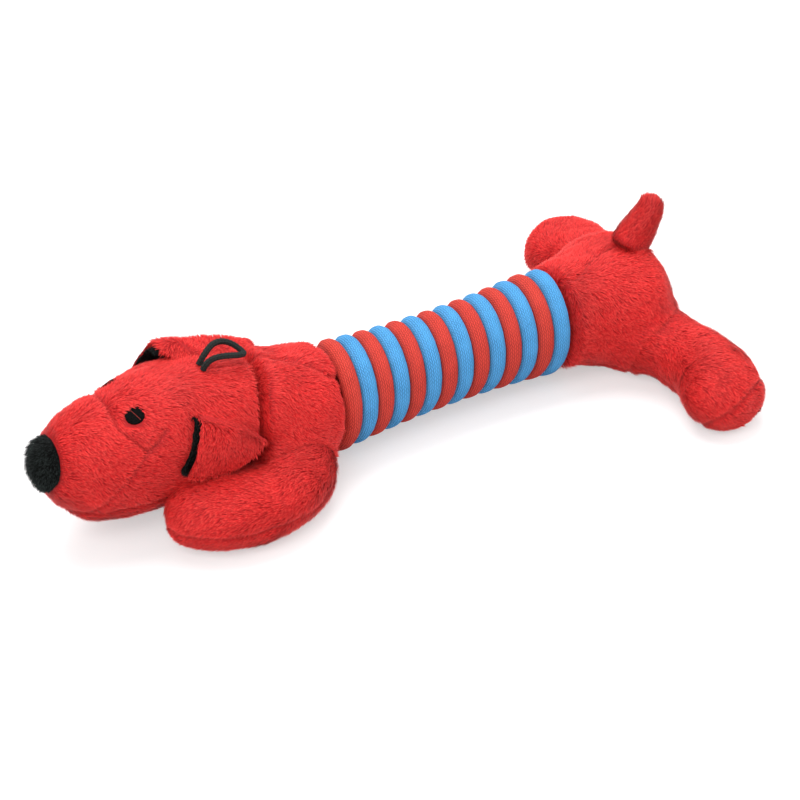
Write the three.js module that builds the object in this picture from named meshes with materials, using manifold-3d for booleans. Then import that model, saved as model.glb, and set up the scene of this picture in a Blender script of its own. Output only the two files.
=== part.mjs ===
// A soft squeaky dog toy that lies on its belly: stuffed plush head, chest, rump, legs and tail,
// joined by a stuffed sleeve that two braided cotton cords are wound on side by side.
// Millimetres. +X runs from the nose to the rump, +Z is up, and the dog's left side faces -Y.
// The middle of the wound sleeve is X = 0, Y = 0 until the last lines, which centre the toy.

import * as THREE from 'three';
import { mergeVertices } from 'three/addons/utils/BufferGeometryUtils.js';
import Module from 'manifold-3d';

const wasm = await Module();
wasm.setup();

// Fits and cuts shared by every piece
const gap = 0.35; // between two pieces that touch
const floorCut = 0.5; // depth of the flat that a stuffed form rests on
const overrun = 60; // how far a cutting block runs past the pieces that it cuts
const weld = 0.0001; // corners closer than this are one corner

// Cord winding
const cordDiameter = 7.7;
const cordSpacing = 8.1; // between the middles of two turns that lie side by side
const turnsPerCord = 7;
const endRadius = 24.2; // outside of the winding at its ends
const waistRadius = 21.2; // and at its middle
const axisHeight = 27; // middle of the winding above the floor

// Sleeve under the winding
const sleeveWall = 1.2;
const sleeveTuck = 7; // how far the sleeve reaches past the winding, into the chest and the rump

// Chest
const chestLength = 41.5;
const chestWidth = 56;
const chestHeight = 56.5;
const chestFrontRound = 3;
const chestBackRound = 4;
const bellySeamHeight = 7.5; // seam round the belly panels above the floor

// Rump
const rumpLength = 64;
const rumpWidth = 68;
const rumpHeight = 54.5;
const rumpFrontRound = 4;
const rumpBackRound = 21;

// Head
const headLength = 90;
const headWidth = 56;
const headHeight = 61;
const chinRise = 7; // lowest point of the chin above the floor
const neckRound = 4;
const neckTopHeight = 59;
const snoutRound = 13;
const muzzleLength = 33.5; // nose tip to the seam over the top of the muzzle
const cheekCornerHeight = 49; // where that seam meets the mouth seam
const cheekCornerBack = 7.7; // and how far behind the seam's top
const seamBendHeight = 58; // down to here the seam stands upright, and then it runs to the corner
const mouthSweep = 26; // the mouth seam runs this far forward as it drops to the chin panel
const chinSeamHeight = 21.5; // seam of the chin panel above the floor

// Nose patch
const noseWidth = 26;
const noseHeight = 29;
const noseMiddle = 43.5; // above the floor
const noseDepth = 12.5; // how far the patch wraps back from the tip

// Eyes: low felt discs that follow the head
const eyeDiameter = 9;
const eyeThickness = 0.7;
const eyeSpread = 25.6; // between the middles of the two eyes
const eyeBehindSeam = 8.3; // behind the seam over the top of the muzzle
const eyeHeight = 61.4;
const eyeLean = 0.48; // outward lean, radians
const eyeReach = 4; // how far the disc's cutter reaches into the head and out of it

// Ears
const earLength = 42;
const earWidth = 41;
const earCoverThickness = 3.4;
const earLiningThickness = 1.6;
const earRootSpread = 26; // between the middles of the two ear roots, across the head
const earRootAhead = 11.3; // middle of an ear root in front of the neck
const earRootHeight = 62.6;
const earRootSlope = 0.11; // the root line climbs forward by this share of its run
const earRootSplay = 0.26; // and draws out from the middle by this one
const earRootRound = 2.6;
const earTipRound = 8;

// Front legs
const frontLegLength = 67;
const frontLegWidth = 36;
const frontLegHeight = 31;
const frontLegStart = 15.5; // shoulder end in front of the winding
const frontSoleSeam = 14; // seam of the sole panel above the floor
const frontHingeAhead = 5.5; // hinge line in front of the winding
const frontHingeOut = 28.5; // and out from the middle

// Hind legs
const hindLegLength = 91.5; // middle of the rump to the end of the left foot
const hindLegWidth = 37.5;
const hindLegHeight = 34;
const hindLegBehind = 51; // hip behind the winding
const rightReachShare = 0.875; // the right leg reaches out by this share of the left one
const rightHindBack = 6; // and lies this much further back
const hindSeamBehind = 51.3; // a place on the left foot's seam, behind the winding
const hindSeamOut = 79.8; // out from the middle
const hindSeamHeight = 28.9; // and above the floor
const hindSeamSlants = [0.356, 0.604, -0.713]; // the sole panel faces back, out and down by these
const hindHingeBehind = 27; // hinge line behind the winding
const hindHingeOut = 31;

// Tail
const tailLength = 28;
const tailWidth = 15;
const tailBehind = 46; // its root behind the winding
const tailRootHeight = 50;
const tailHingeBehind = 58; // hinge line behind the winding
const tailHingeHeight = 50;
const tailTipRound = 3;

// Hang loop, a thin cord sewn into the seam on top of the head: its route, left foot to right foot
const loopCordDiameter = 2.5;
const loopRoute = [
  [-111.2, -2.0, 62.9],
  [-110.3, -2.1, 64.5],
  [-109.0, -2.2, 65.8],
  [-107.3, -2.5, 66.8],
  [-105.4, -3.0, 67.4],
  [-103.3, -3.6, 67.6],
  [-101.0, -4.1, 67.4],
  [-98.6, -4.4, 66.9],
  [-96.3, -4.2, 66.1],
  [-94.3, -3.4, 65.2],
  [-92.9, -2.1, 64.4],
  [-92.4, -0.3, 64.1],
  [-92.8, 1.6, 64.5],
  [-93.9, 3.3, 65.5],
  [-95.6, 4.5, 66.7],
  [-97.7, 5.2, 67.8],
  [-100.0, 5.3, 68.5],
  [-102.4, 4.9, 68.7],
  [-104.6, 4.2, 68.3],
  [-106.6, 3.4, 67.3],
  [-108.3, 2.8, 66.1],
  [-109.8, 2.3, 64.7],
  [-111.2, 2.0, 62.9],
];

// Squeaker in a chamber of the head, and the fibre wad that closes the chamber's way in
const squeakerDiameter = 26;
const squeakerBaseHeight = 3;
const squeakerCapHeight = 2;
const squeakerWall = 1.2;
const bellowsHeight = 12;
const bellowsFolds = 4;
const bellowsFoldDepth = 1.6;
const whistleDiameter = 7;
const whistleHeight = 5;
const whistleBore = 3;
const chamberClearance = 1.4; // round the squeaker and over it, in the fibre
const chamberFloor = 26;
const chamberAhead = 22; // middle of the chamber in front of the neck
const channelWidth = 22;
const channelHeight = 16;
const channelOverrun = 1;

// Derived places along the toy
const lead = 2 * cordSpacing; // the two cords share each lead
const windingEnd = turnsPerCord * cordSpacing;
const windingSlope = lead / 2 / (2 * endRadius - cordDiameter); // lean of the winding's end faces
const neckX = -windingEnd - chestLength;
const noseX = neckX - headLength;

// Looks
const plushRed = { color: 0xe23b3b, roughness: 0.95, metalness: 0 };
const plushBlack = { color: 0x15191a, roughness: 0.95, metalness: 0 };
const cordRed = { color: 0xcd3c37, roughness: 0.9, metalness: 0 };
const cordBlue = { color: 0x4696e1, roughness: 0.9, metalness: 0 };
const canvas = { color: 0xb9b2a4, roughness: 0.9, metalness: 0 };
const fibre = { color: 0xeeece6, roughness: 1, metalness: 0 };
const softVinyl = { color: 0xe9e4d4, roughness: 0.5, metalness: 0 };
const hardPlastic = { color: 0xf2f0ea, roughness: 0.35, metalness: 0 };

// Solids for cutting and joining

function solidFrom(geometry) {
  const bare = geometry.clone();
  bare.deleteAttribute('normal');
  bare.deleteAttribute('uv');
  const merged = mergeVertices(bare, weld);
  return new wasm.Manifold(new wasm.Mesh({
    numProp: 3,
    vertProperties: new Float32Array(merged.attributes.position.array),
    triVerts: new Uint32Array(merged.index.array),
  }));
}

function geometryFrom(solid) {
  const mesh = solid.getMesh();
  const geometry = new THREE.BufferGeometry();
  const corners = new Float32Array(mesh.vertProperties);
  geometry.setAttribute('position', new THREE.BufferAttribute(corners, 3));
  geometry.setIndex(new THREE.BufferAttribute(new Uint32Array(mesh.triVerts), 1));
  const loose = geometry.toNonIndexed();
  loose.computeVertexNormals();
  return loose;
}

function block(low, high) {
  const size = low.map((value, k) => high[k] - value);
  const middle = low.map((value, k) => (high[k] + value) / 2);
  return solidFrom(new THREE.BoxGeometry(...size).translate(...middle));
}

// A turned solid from [radius, height] pairs that start and end on the axis, or close on
// themselves. It is turned about Z and then set in place by a matrix.
function turned(profile, sides, place) {
  const points = profile.map(([radius, height]) => new THREE.Vector2(radius, height));
  const geometry = new THREE.LatheGeometry(points, sides);
  geometry.rotateX(Math.PI / 2);
  geometry.applyMatrix4(place);
  return solidFrom(geometry);
}

// A block across the toy from a side view outline of [x, z] pairs
function across(outline) {
  const shape = new THREE.Shape(outline.map(([x, z]) => new THREE.Vector2(x, z)));
  const geometry = new THREE.ExtrudeGeometry(shape, { depth: 2 * overrun, bevelEnabled: false });
  geometry.rotateX(Math.PI / 2);
  geometry.translate(0, overrun, 0);
  return solidFrom(geometry);
}

// One row of a table at a share of its length, every column on one smooth curve
function between(rows, share) {
  const last = rows.length - 1;
  const at = share * last;
  const k = Math.min(Math.max(Math.floor(at), 0), last - 1);
  const t = at - k;
  const row = (n) => rows[Math.min(Math.max(n, 0), last)];
  return row(k).map((here, column) => {
    const next = row(k + 1)[column];
    const slopeIn = (next - row(k - 1)[column]) / 2;
    const slopeOut = (row(k + 2)[column] - here) / 2;
    return here + t * slopeIn + t * t * (3 * (next - here) - 2 * slopeIn - slopeOut)
      + t * t * t * (2 * (here - next) + slopeIn + slopeOut);
  });
}

// The share of a table at which its spine has run a given length
function spineOf(rows) {
  const steps = 48;
  const path = [];
  for (let i = 0; i <= steps; i += 1) path.push(new THREE.Vector3(...between(rows, i / steps)));
  const runs = [0];
  for (let i = 1; i <= steps; i += 1) runs.push(runs[i - 1] + path[i].distanceTo(path[i - 1]));
  const shareAt = (run) => {
    let i = 1;
    while (i < steps && runs[i] < run) i += 1;
    return (i - 1 + (run - runs[i - 1]) / (runs[i] - runs[i - 1])) / steps;
  };
  return { total: runs[steps], shareAt };
}

// How much of its full size a section has where the two ends of a form close as round caps
function closing(run, total, startRound, endRound) {
  const start = Math.max(0, 1 - run / startRound);
  const end = Math.max(0, 1 - (total - run) / endRound);
  return Math.sqrt((1 - start * start) * (1 - end * end));
}

// Where the sections of a form lie along its spine: close together in the caps
function sectionRuns(total, { startRound, endRound, rings, capRings }) {
  const runs = [];
  const capShare = (i) => 1 - Math.cos((i / capRings) * (Math.PI / 2));
  for (let i = 1; i <= capRings; i += 1) runs.push(startRound * capShare(i));
  for (let i = 1; i < rings; i += 1) {
    runs.push(startRound + (total - startRound - endRound) * (i / rings));
  }
  for (let i = capRings; i >= 1; i -= 1) runs.push(total - endRound * capShare(i));
  return runs;
}

// The two axes of a section. An upright one crosses the toy and may lean along it, a flap's runs
// along the toy by the slants that its row gives, and any other is square to the spine and level.
function sectionAxes(run3, lean, splay, stance) {
  if (stance === 'upright') {
    const side = new THREE.Vector3(0, Math.sign(run3.x), 0);
    return { side, up: new THREE.Vector3(lean, 0, 1) };
  }
  const side = new THREE.Vector3(-run3.y, run3.x, 0);
  if (stance === 'flap') side.set(1, -splay, -lean);
  side.normalize();
  return { side, up: new THREE.Vector3().crossVectors(run3, side).normalize() };
}

// A closed stuffed form. Each row is [x, y, z, half width, half height, egg, lean, splay]: the
// middle of a section, its half sizes, how much wider it is above than below, and its slants.
// `grow` gives the form with a skin of that thickness, and `lift` moves each section along its
// own height.
function stuffed(rows, look, grow = 0) {
  const { startRound, endRound, sides, stance = 'spine', square = 2, lift = 0 } = look;
  const { total, shareAt } = spineOf(rows);
  const nearShare = 1 / (8 * rows.length);
  const sectionAt = (run) => {
    const share = shareAt(run);
    const [x, y, z, halfWidth, halfHeight, egg, lean, splay] = between(rows, share);
    const run3 = new THREE.Vector3(...between(rows, Math.min(share + nearShare, 1)));
    run3.sub(new THREE.Vector3(...between(rows, Math.max(share - nearShare, 0)))).normalize();
    const { side, up } = sectionAxes(run3, lean, splay, stance);
    const middle = new THREE.Vector3(x, y, z).addScaledVector(up, lift);
    return { middle, run3, side, up, halfWidth, halfHeight, egg };
  };
  const first = sectionAt(0);
  const last = sectionAt(total);
  const points = [first.middle.clone().addScaledVector(first.run3, -grow)];
  const runs = sectionRuns(total, look);
  for (const run of runs) {
    const { middle, side, up, halfWidth, halfHeight, egg } = sectionAt(run);
    const close = closing(run, total, startRound, endRound);
    for (let j = 0; j < sides; j += 1) {
      const angle = (j / sides) * 2 * Math.PI;
      const [c, s] = [Math.cos(angle), Math.sin(angle)];
      const [reach, rise] = [halfWidth * close + grow, halfHeight * close + grow];
      const wide = Math.sign(s) * Math.abs(s) ** (2 / square) * reach * (1 + egg * c);
      const high = Math.sign(c) * Math.abs(c) ** (2 / square) * rise;
      points.push(middle.clone().addScaledVector(side, wide).addScaledVector(up, high));
    }
  }
  points.push(last.middle.clone().addScaledVector(last.run3, grow));
  return solidFrom(ringGeometry(points, runs.length, sides));
}

// Triangles between rings of points, closed at both ends by the first and the last point
function ringGeometry(points, ringCount, sides) {
  const index = [];
  const at = (i, j) => 1 + i * sides + (j % sides);
  for (let j = 0; j < sides; j += 1) {
    index.push(0, at(0, j), at(0, j + 1));
    index.push(points.length - 1, at(ringCount - 1, j + 1), at(ringCount - 1, j));
    for (let i = 0; i < ringCount - 1; i += 1) {
      index.push(at(i, j), at(i + 1, j + 1), at(i, j + 1));
      index.push(at(i, j), at(i + 1, j), at(i + 1, j + 1));
    }
  }
  const geometry = new THREE.BufferGeometry();
  const positions = points.flatMap((point) => point.toArray());
  geometry.setAttribute('position', new THREE.Float32BufferAttribute(positions, 3));
  geometry.setIndex(index);
  return geometry;
}

// Table rows hold shares of a form's own sizes, and become rows of real sizes here
function sized(shares, [x, y, z], sizes) {
  const { along, side = 1, length, reach = length, width, height, base = height } = sizes;
  return shares.map(([ahead, out, up, halfWidth, halfHeight, egg = 0, lean = 0, splay = 0]) => [
    x + along * ahead * length, y + side * out * reach, z + up * base,
    halfWidth * width, halfHeight * height, egg, lean, side * splay]);
}

// The floor takes a flat from what rests on it
const underFloor = block(
  [noseX - overrun, -2 * overrun, -overrun], [-noseX + overrun, 2 * overrun, 0]);
const seated = (solid) => solid.subtract(underFloor);

// What lies above a level seam and what lies below it
function splitLevel(solid, height) {
  const [west, east] = [noseX - overrun, -noseX + overrun];
  const below = block([west, -2 * overrun, -overrun], [east, 2 * overrun, height + gap / 2]);
  const above = block([west, -2 * overrun, height - gap / 2], [east, 2 * overrun, 2 * overrun]);
  return { above: solid.subtract(below), below: solid.subtract(above) };
}

// What lies behind and in front of a slanted seam through a point
function splitSlanted(solid, point, facing) {
  const depth = point.reduce((sum, value, k) => sum + value * facing[k], 0);
  const away = facing.map((value) => -value);
  return {
    behind: solid.trimByPlane(away, gap / 2 - depth),
    front: solid.trimByPlane(facing, gap / 2 + depth),
  };
}

// Cords wound side by side as the two starts of one helix

function outsideRadius(x) {
  return waistRadius + (endRadius - waistRadius) * (x / windingEnd) ** 2;
}

const turnSteps = 24;
const tubeSides = 6;

// The cord first passes the dog's left side at `leftX`, where its angle is a quarter turn
function woundPath(leftX, startAngle, endAngle) {
  const points = [];
  const steps = Math.round(((endAngle - startAngle) / (2 * Math.PI)) * turnSteps);
  for (let i = 0; i <= steps; i += 1) {
    const angle = startAngle + (i / steps) * (endAngle - startAngle);
    const x = leftX - (lead * (angle - Math.PI / 2)) / (2 * Math.PI);
    const radius = outsideRadius(x) - cordDiameter / 2;
    const [y, z] = [-radius * Math.sin(angle), axisHeight + radius * Math.cos(angle)];
    points.push(new THREE.Vector3(x, y, z));
  }
  return points;
}

function woundTube(points) {
  const surface = [];
  points.forEach((point, i) => {
    const behind = points[Math.max(i - 1, 0)];
    const run = points[Math.min(i + 1, points.length - 1)].clone().sub(behind).normalize();
    const out = new THREE.Vector3(0, point.y, point.z - axisHeight);
    out.addScaledVector(run, -out.dot(run)).normalize();
    const side = new THREE.Vector3().crossVectors(run, out);
    for (let j = 0; j < tubeSides; j += 1) {
      const angle = (j / tubeSides) * 2 * Math.PI;
      surface.push(point.clone().addScaledVector(side, (Math.cos(angle) * cordDiameter) / 2)
        .addScaledVector(out, (Math.sin(angle) * cordDiameter) / 2));
    }
  });
  const closed = [points[0], ...surface, points[points.length - 1]];
  return solidFrom(ringGeometry(closed, points.length, tubeSides));
}

// Least distance between the surfaces of two runs of cord, or of one run's own turns
function leastGap(a, b) {
  let least = Infinity;
  a.forEach((p, i) => b.forEach((q, j) => {
    const apart = a !== b || Math.abs(i - j) > turnSteps / 2;
    if (apart) least = Math.min(least, p.distanceTo(q) - cordDiameter);
  }));
  return least;
}

const firstBlueX = windingEnd - cordSpacing / 2;
const firstRedX = firstBlueX - cordSpacing;
const fullTurns = 2 * Math.PI * (turnsPerCord - 1);
const bluePath = woundPath(firstBlueX, 0, 1.5 * Math.PI + fullTurns);
const redPath = woundPath(firstRedX, -0.5 * Math.PI, Math.PI + fullTurns);
console.log('least gap, blue cord to itself:', leastGap(bluePath, bluePath).toFixed(2), 'mm');
console.log('least gap, red cord to itself:', leastGap(redPath, redPath).toFixed(2), 'mm');
console.log('least gap, blue cord to red:', leastGap(bluePath, redPath).toFixed(2), 'mm');

// The sleeve follows the inside of the winding, and the stuffing fills the sleeve
const sleeveEnd = windingEnd + sleeveTuck;
const sleeveSteps = 8;
const sleeveSides = 24;
const alongX = new THREE.Matrix4().makeRotationY(Math.PI / 2).setPosition(0, 0, axisHeight);

function sleeveProfile(inset) {
  const profile = [];
  for (let i = 0; i <= sleeveSteps; i += 1) {
    const x = -sleeveEnd + (2 * sleeveEnd * i) / sleeveSteps;
    profile.push([outsideRadius(x) - cordDiameter - gap - inset, x]);
  }
  return profile;
}

function makeSleeve() {
  const outside = sleeveProfile(0);
  const inside = sleeveProfile(sleeveWall).reverse();
  return turned([...outside, ...inside, outside[0]], sleeveSides, alongX);
}

function makeSleeveWad() {
  const outside = sleeveProfile(sleeveWall + gap);
  return turned([[0, -sleeveEnd], ...outside, [0, sleeveEnd]], sleeveSides, alongX);
}

// The recess in the chest or the rump that an end of the sleeve is tucked into
function tuckAt(end) {
  const radius = outsideRadius(sleeveEnd) - cordDiameter + gap;
  const [inner, outer] = [windingEnd - sleeveTuck, sleeveEnd + gap];
  const place = new THREE.Matrix4().makeRotationY((end * Math.PI) / 2).setPosition(0, 0, axisHeight);
  return turned([[0, inner], [radius, inner], [radius, outer], [0, outer]], sleeveSides, place);
}

// Chest, rump and head: their sections stand upright, and lean with the winding's ends beside it

const chestShares = [
  // ahead, out, up, half width, half height, egg, lean
  [0.00, 0, 0.475, 0.42, 0.42, 0, windingSlope],
  [0.15, 0, 0.47, 0.475, 0.46, 0, windingSlope * 0.8],
  [0.42, 0, 0.485, 0.505, 0.49, 0, windingSlope * 0.3],
  [0.75, 0, 0.52, 0.51, 0.525, 0, 0],
  [1.00, 0, 0.515, 0.475, 0.52, 0, 0],
];
const chestLook = {
  startRound: chestBackRound,
  endRound: chestFrontRound,
  rings: 4,
  capRings: 2,
  sides: 18,
  stance: 'upright',
  square: 2.15,
};

function chestForm(grow) {
  const sizes = { along: -1, length: chestLength - gap, width: chestWidth, height: chestHeight };
  return stuffed(sized(chestShares, [-windingEnd - gap, 0, -floorCut], sizes), chestLook, grow);
}

const rumpShares = [
  [0.00, 0, 0.52, 0.35, 0.385, 0, windingSlope],
  [0.14, 0, 0.52, 0.38, 0.405, 0, windingSlope * 0.8],
  [0.28, 0, 0.497, 0.405, 0.447, 0, windingSlope * 0.5],
  [0.45, 0, 0.485, 0.475, 0.49, 0, windingSlope * 0.2],
  [0.62, 0, 0.49, 0.505, 0.50, 0, 0],
  [0.80, 0, 0.485, 0.445, 0.51, 0, 0],
  [1.00, 0, 0.435, 0.365, 0.45, 0, 0],
];
const rumpLook = {
  startRound: rumpFrontRound,
  endRound: rumpBackRound,
  rings: 6,
  capRings: 4,
  sides: 20,
  stance: 'upright',
  square: 2.2,
};

function rumpForm(grow) {
  const sizes = { along: 1, length: rumpLength, width: rumpWidth, height: rumpHeight };
  return stuffed(sized(rumpShares, [windingEnd + gap, 0, -floorCut], sizes), rumpLook, grow);
}

const headShares = [
  [0.00, 0, 0.475, 0.435, 0.36, 0.06],
  [0.13, 0, 0.467, 0.482, 0.434, 0.10],
  [0.30, 0, 0.475, 0.50, 0.475, 0.12],
  [0.467, 0, 0.475, 0.475, 0.468, 0.10],
  [0.578, 0, 0.45, 0.438, 0.455, 0.08],
  [0.689, 0, 0.448, 0.402, 0.433, 0.08],
  [0.80, 0, 0.462, 0.345, 0.378, 0.08],
  [0.90, 0, 0.50, 0.258, 0.265, 0.02],
  [1.00, 0, 0.57, 0.205, 0.18, 0],
];
const headLook = {
  startRound: neckRound,
  endRound: snoutRound,
  rings: 9,
  capRings: 3,
  sides: 20,
  stance: 'upright',
  square: 2.1,
};

function headForm(grow) {
  const sizes = { along: -1, length: headLength - gap, width: headWidth, height: headHeight };
  return stuffed(sized(headShares, [neckX - gap, 0, chinRise], sizes), headLook, grow);
}

// Head panels: the muzzle, the nose patch, the chin and what lies behind them

function muzzleBlock(grow) {
  const seamX = noseX + muzzleLength + grow;
  const cornerX = seamX + cheekCornerBack;
  const mouthX = cornerX - mouthSweep;
  return across([
    [noseX - overrun, -overrun], [noseX - overrun, 2 * overrun], [seamX, 2 * overrun],
    [seamX, seamBendHeight], [cornerX, cheekCornerHeight],
    [mouthX, chinSeamHeight], [mouthX, -overrun],
  ]);
}

function noseBlock(grow) {
  const sides = 18;
  const drum = new THREE.CylinderGeometry(1, 1, 1, sides);
  drum.rotateZ(Math.PI / 2);
  drum.rotateX(Math.PI / sides);
  drum.scale(overrun, noseWidth / 2 + grow, noseHeight / 2 + grow);
  drum.translate(noseX + noseDepth + grow - overrun / 2, 0, noseMiddle);
  return solidFrom(drum);
}

function eyePatch(side) {
  const drum = new THREE.CylinderGeometry(eyeDiameter / 2, eyeDiameter / 2, 2 * eyeReach, 16);
  drum.rotateX(Math.PI / 2 - side * eyeLean);
  drum.translate(noseX + muzzleLength + eyeBehindSeam, (side * eyeSpread) / 2, eyeHeight);
  return solidFrom(drum).intersect(headForm(gap + eyeThickness)).subtract(headForm(gap));
}

// Squeaker: a base with a whistle under it, ribbed bellows on it and a cap on top

const chamberX = neckX - chamberAhead;
const chamberRadius = squeakerDiameter / 2 + chamberClearance;
const squeakerBodyHeight = squeakerBaseHeight + bellowsHeight + squeakerCapHeight;
const squeakerHeight = whistleHeight + squeakerBodyHeight + 3 * gap;
const chamberMiddle = chamberFloor + squeakerHeight / 2;
const squeakerSides = 24;
const baseZ = chamberFloor + whistleHeight + gap;
const bellowsZ = baseZ + squeakerBaseHeight + gap;
const capZ = bellowsZ + bellowsHeight + gap;
const turnedAt = (height, profile) => turned(
  profile, squeakerSides, new THREE.Matrix4().makeTranslation(chamberX, 0, height));

function chamber() {
  const height = squeakerHeight + chamberClearance;
  const profile = [[0, 0], [chamberRadius, 0], [chamberRadius, height], [0, height]];
  const way = block([chamberX, -channelWidth / 2, chamberMiddle - channelHeight / 2],
    [neckX + channelOverrun, channelWidth / 2, chamberMiddle + channelHeight / 2]);
  return turnedAt(chamberFloor, profile).add(way);
}

function wad() {
  const way = block([chamberX, gap - channelWidth / 2, chamberMiddle - channelHeight / 2 + gap],
    [neckX - gap - neckRound / 2, channelWidth / 2 - gap, chamberMiddle + channelHeight / 2 - gap]);
  const profile = [[0, 0], [chamberRadius, 0], [chamberRadius, squeakerHeight], [0, squeakerHeight]];
  return way.subtract(turnedAt(chamberFloor, profile));
}

function squeakerBase() {
  const [outer, bore, top] = [squeakerDiameter / 2, whistleDiameter / 2, squeakerBaseHeight];
  const rim = bore + squeakerWall;
  return turnedAt(baseZ, [[bore, -whistleHeight], [rim, -whistleHeight], [rim, 0], [outer, 0],
    [outer, top], [bore, top], [bore, -whistleHeight]]);
}

function squeakerReed() {
  const [outer, bore, top] = [whistleDiameter / 2 - gap, whistleBore / 2, squeakerBaseHeight];
  return turnedAt(baseZ, [[bore, -whistleHeight], [outer, -whistleHeight], [outer, top], [bore, top],
    [bore, -whistleHeight]]);
}

function squeakerBellows() {
  const ridges = [];
  for (let i = 0; i <= 2 * bellowsFolds; i += 1) {
    const inset = i % 2 === 1 ? bellowsFoldDepth : 0;
    ridges.push([squeakerDiameter / 2 - inset, (bellowsHeight * i) / (2 * bellowsFolds)]);
  }
  const inside = ridges.map(([radius, height]) => [radius - squeakerWall, height]).reverse();
  return turnedAt(bellowsZ, [...ridges, ...inside, ridges[0]]);
}

function squeakerCap() {
  const [outer, top] = [squeakerDiameter / 2, squeakerCapHeight];
  return turnedAt(capZ, [[0, 0], [outer, 0], [outer, top], [0, top]]);
}

// Front legs: shares of the leg's length, width and height, from the shoulder to the foot
const frontLegShares = [
  [0.03, 0.41, 0.50, 0.425, 0.47],
  [0.145, 0.68, 0.505, 0.49, 0.505],
  [0.31, 0.917, 0.485, 0.503, 0.485],
  [0.54, 1.00, 0.495, 0.49, 0.495],
  [0.765, 0.87, 0.51, 0.48, 0.51],
  [1.00, 0.50, 0.475, 0.438, 0.465],
];
const frontEndShare = 0.38; // of the leg's width, for the round of both of its ends

function frontLegForm(side) {
  const [length, width, height] = [frontLegLength, frontLegWidth, frontLegHeight];
  const sizes = { along: -1, side, length, reach: width, width, height };
  const rows = sized(frontLegShares, [-windingEnd - frontLegStart, 0, -floorCut], sizes);
  const round = frontLegWidth * frontEndShare;
  return stuffed(rows, { startRound: round, endRound: round, rings: 6, capRings: 3, sides: 14 });
}

// Hind legs: shares of the leg's own sizes, from inside the rump outward
const hindLegShares = [
  [-0.05, 0.11, 0.53, 0.42, 0.49],
  [-0.06, 0.27, 0.50, 0.455, 0.49],
  [-0.03, 0.46, 0.495, 0.41, 0.485],
  [-0.01, 0.66, 0.48, 0.48, 0.48],
  [-0.055, 0.82, 0.46, 0.505, 0.46],
  [-0.08, 0.975, 0.505, 0.45, 0.495],
];
const hindStartShare = 0.2; // of the leg's width, for the round of its end in the rump
const hindEndShare = 0.42; // and for the round of the foot

function hindLegForm(side, reachShare, back) {
  const [length, width, height] = [hindLegLength, hindLegWidth, hindLegHeight];
  const sizes = { along: 1, side, length, reach: reachShare * length, width, height };
  const rows = sized(hindLegShares, [windingEnd + hindLegBehind + back, 0, -floorCut], sizes);
  const [startRound, endRound] = [hindLegWidth * hindStartShare, hindLegWidth * hindEndShare];
  return stuffed(rows, { startRound, endRound, rings: 5, capRings: 4, sides: 14 });
}

// Tail: a short stuffed tube that leans back and narrows to its tip
const tailShares = [
  [0.00, 0, 0.00, 0.60, 0.50],
  [0.15, 0, 0.25, 0.57, 0.47],
  [0.30, 0, 0.545, 0.50, 0.42],
  [0.48, 0, 0.85, 0.36, 0.36],
];

function tailForm() {
  const [length, width, round] = [tailLength, tailWidth, tailTipRound];
  const rows = sized(tailShares, [windingEnd + tailBehind, 0, tailRootHeight],
    { along: 1, length, width, height: width, base: length });
  return stuffed(rows, { startRound: round, endRound: round, rings: 4, capRings: 2, sides: 10 });
}

// Ears: shares of the ear's length and width, from the root outward and down
const earShares = [
  // ahead of the root's middle, outward, up, half width, half thickness, egg, lean, splay
  [-0.05, -0.02, -0.02, 0.345, 0.5, 0, earRootSlope, earRootSplay],
  [-0.01, 0.145, 0.02, 0.335, 0.5, 0, earRootSlope, earRootSplay],
  [0.045, 0.30, -0.14, 0.355, 0.5, 0, earRootSlope / 2, earRootSplay * 0.6],
  [0.122, 0.417, -0.40, 0.395, 0.5, 0, earRootSlope / 4, earRootSplay * 0.3],
  [0.228, 0.403, -0.717, 0.46, 0.5, 0, 0, 0],
];

const earLook = {
  startRound: earRootRound,
  endRound: earTipRound,
  rings: 6,
  capRings: 2,
  sides: 12,
  stance: 'flap',
  square: 2.6,
};

function earLayer(side, thickness, lift) {
  const sizes = {
    along: -1, side, length: earLength, width: earWidth, height: thickness, base: earLength,
  };
  const root = [neckX - earRootAhead, (side * earRootSpread) / 2, earRootHeight];
  const flap = { ...earLook, lift: -side * lift };
  return stuffed(sized(earShares, root, sizes), flap).subtract(headForm(gap));
}

const earCoverLift = (earLiningThickness + gap) / 2;
const earLiningLift = -(earCoverThickness + gap) / 2;

// The hang loop: a small round section run along its hand-laid route
function hangLoop() {
  const path = new THREE.CatmullRomCurve3(loopRoute.map((point) => new THREE.Vector3(...point)));
  const corners = [];
  const sides = 8;
  for (let i = 0; i < sides; i += 1) {
    const angle = (i / sides) * 2 * Math.PI;
    const corner = new THREE.Vector2(Math.cos(angle), Math.sin(angle));
    corners.push(corner.multiplyScalar(loopCordDiameter / 2));
  }
  const look = { steps: 24, extrudePath: path, bevelEnabled: false };
  return solidFrom(new THREE.ExtrudeGeometry(new THREE.Shape(corners), look));
}

// The toy, with a nested group for each moving part, whose origin is the part's hinge
const toy = new THREE.Group();

function movingPart(parent, pivot) {
  const group = new THREE.Group();
  group.userData.pivot = pivot;
  group.position.subVectors(pivot, parent.userData.pivot ?? new THREE.Vector3());
  parent.add(group);
  return group;
}

function piece(group, name, solid, look) {
  const geometry = geometryFrom(solid);
  const { x, y, z } = group.userData.pivot ?? new THREE.Vector3();
  geometry.translate(-x, -y, -z);
  const mesh = new THREE.Mesh(geometry, new THREE.MeshStandardMaterial(look));
  mesh.name = name;
  group.add(mesh);
}

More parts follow.
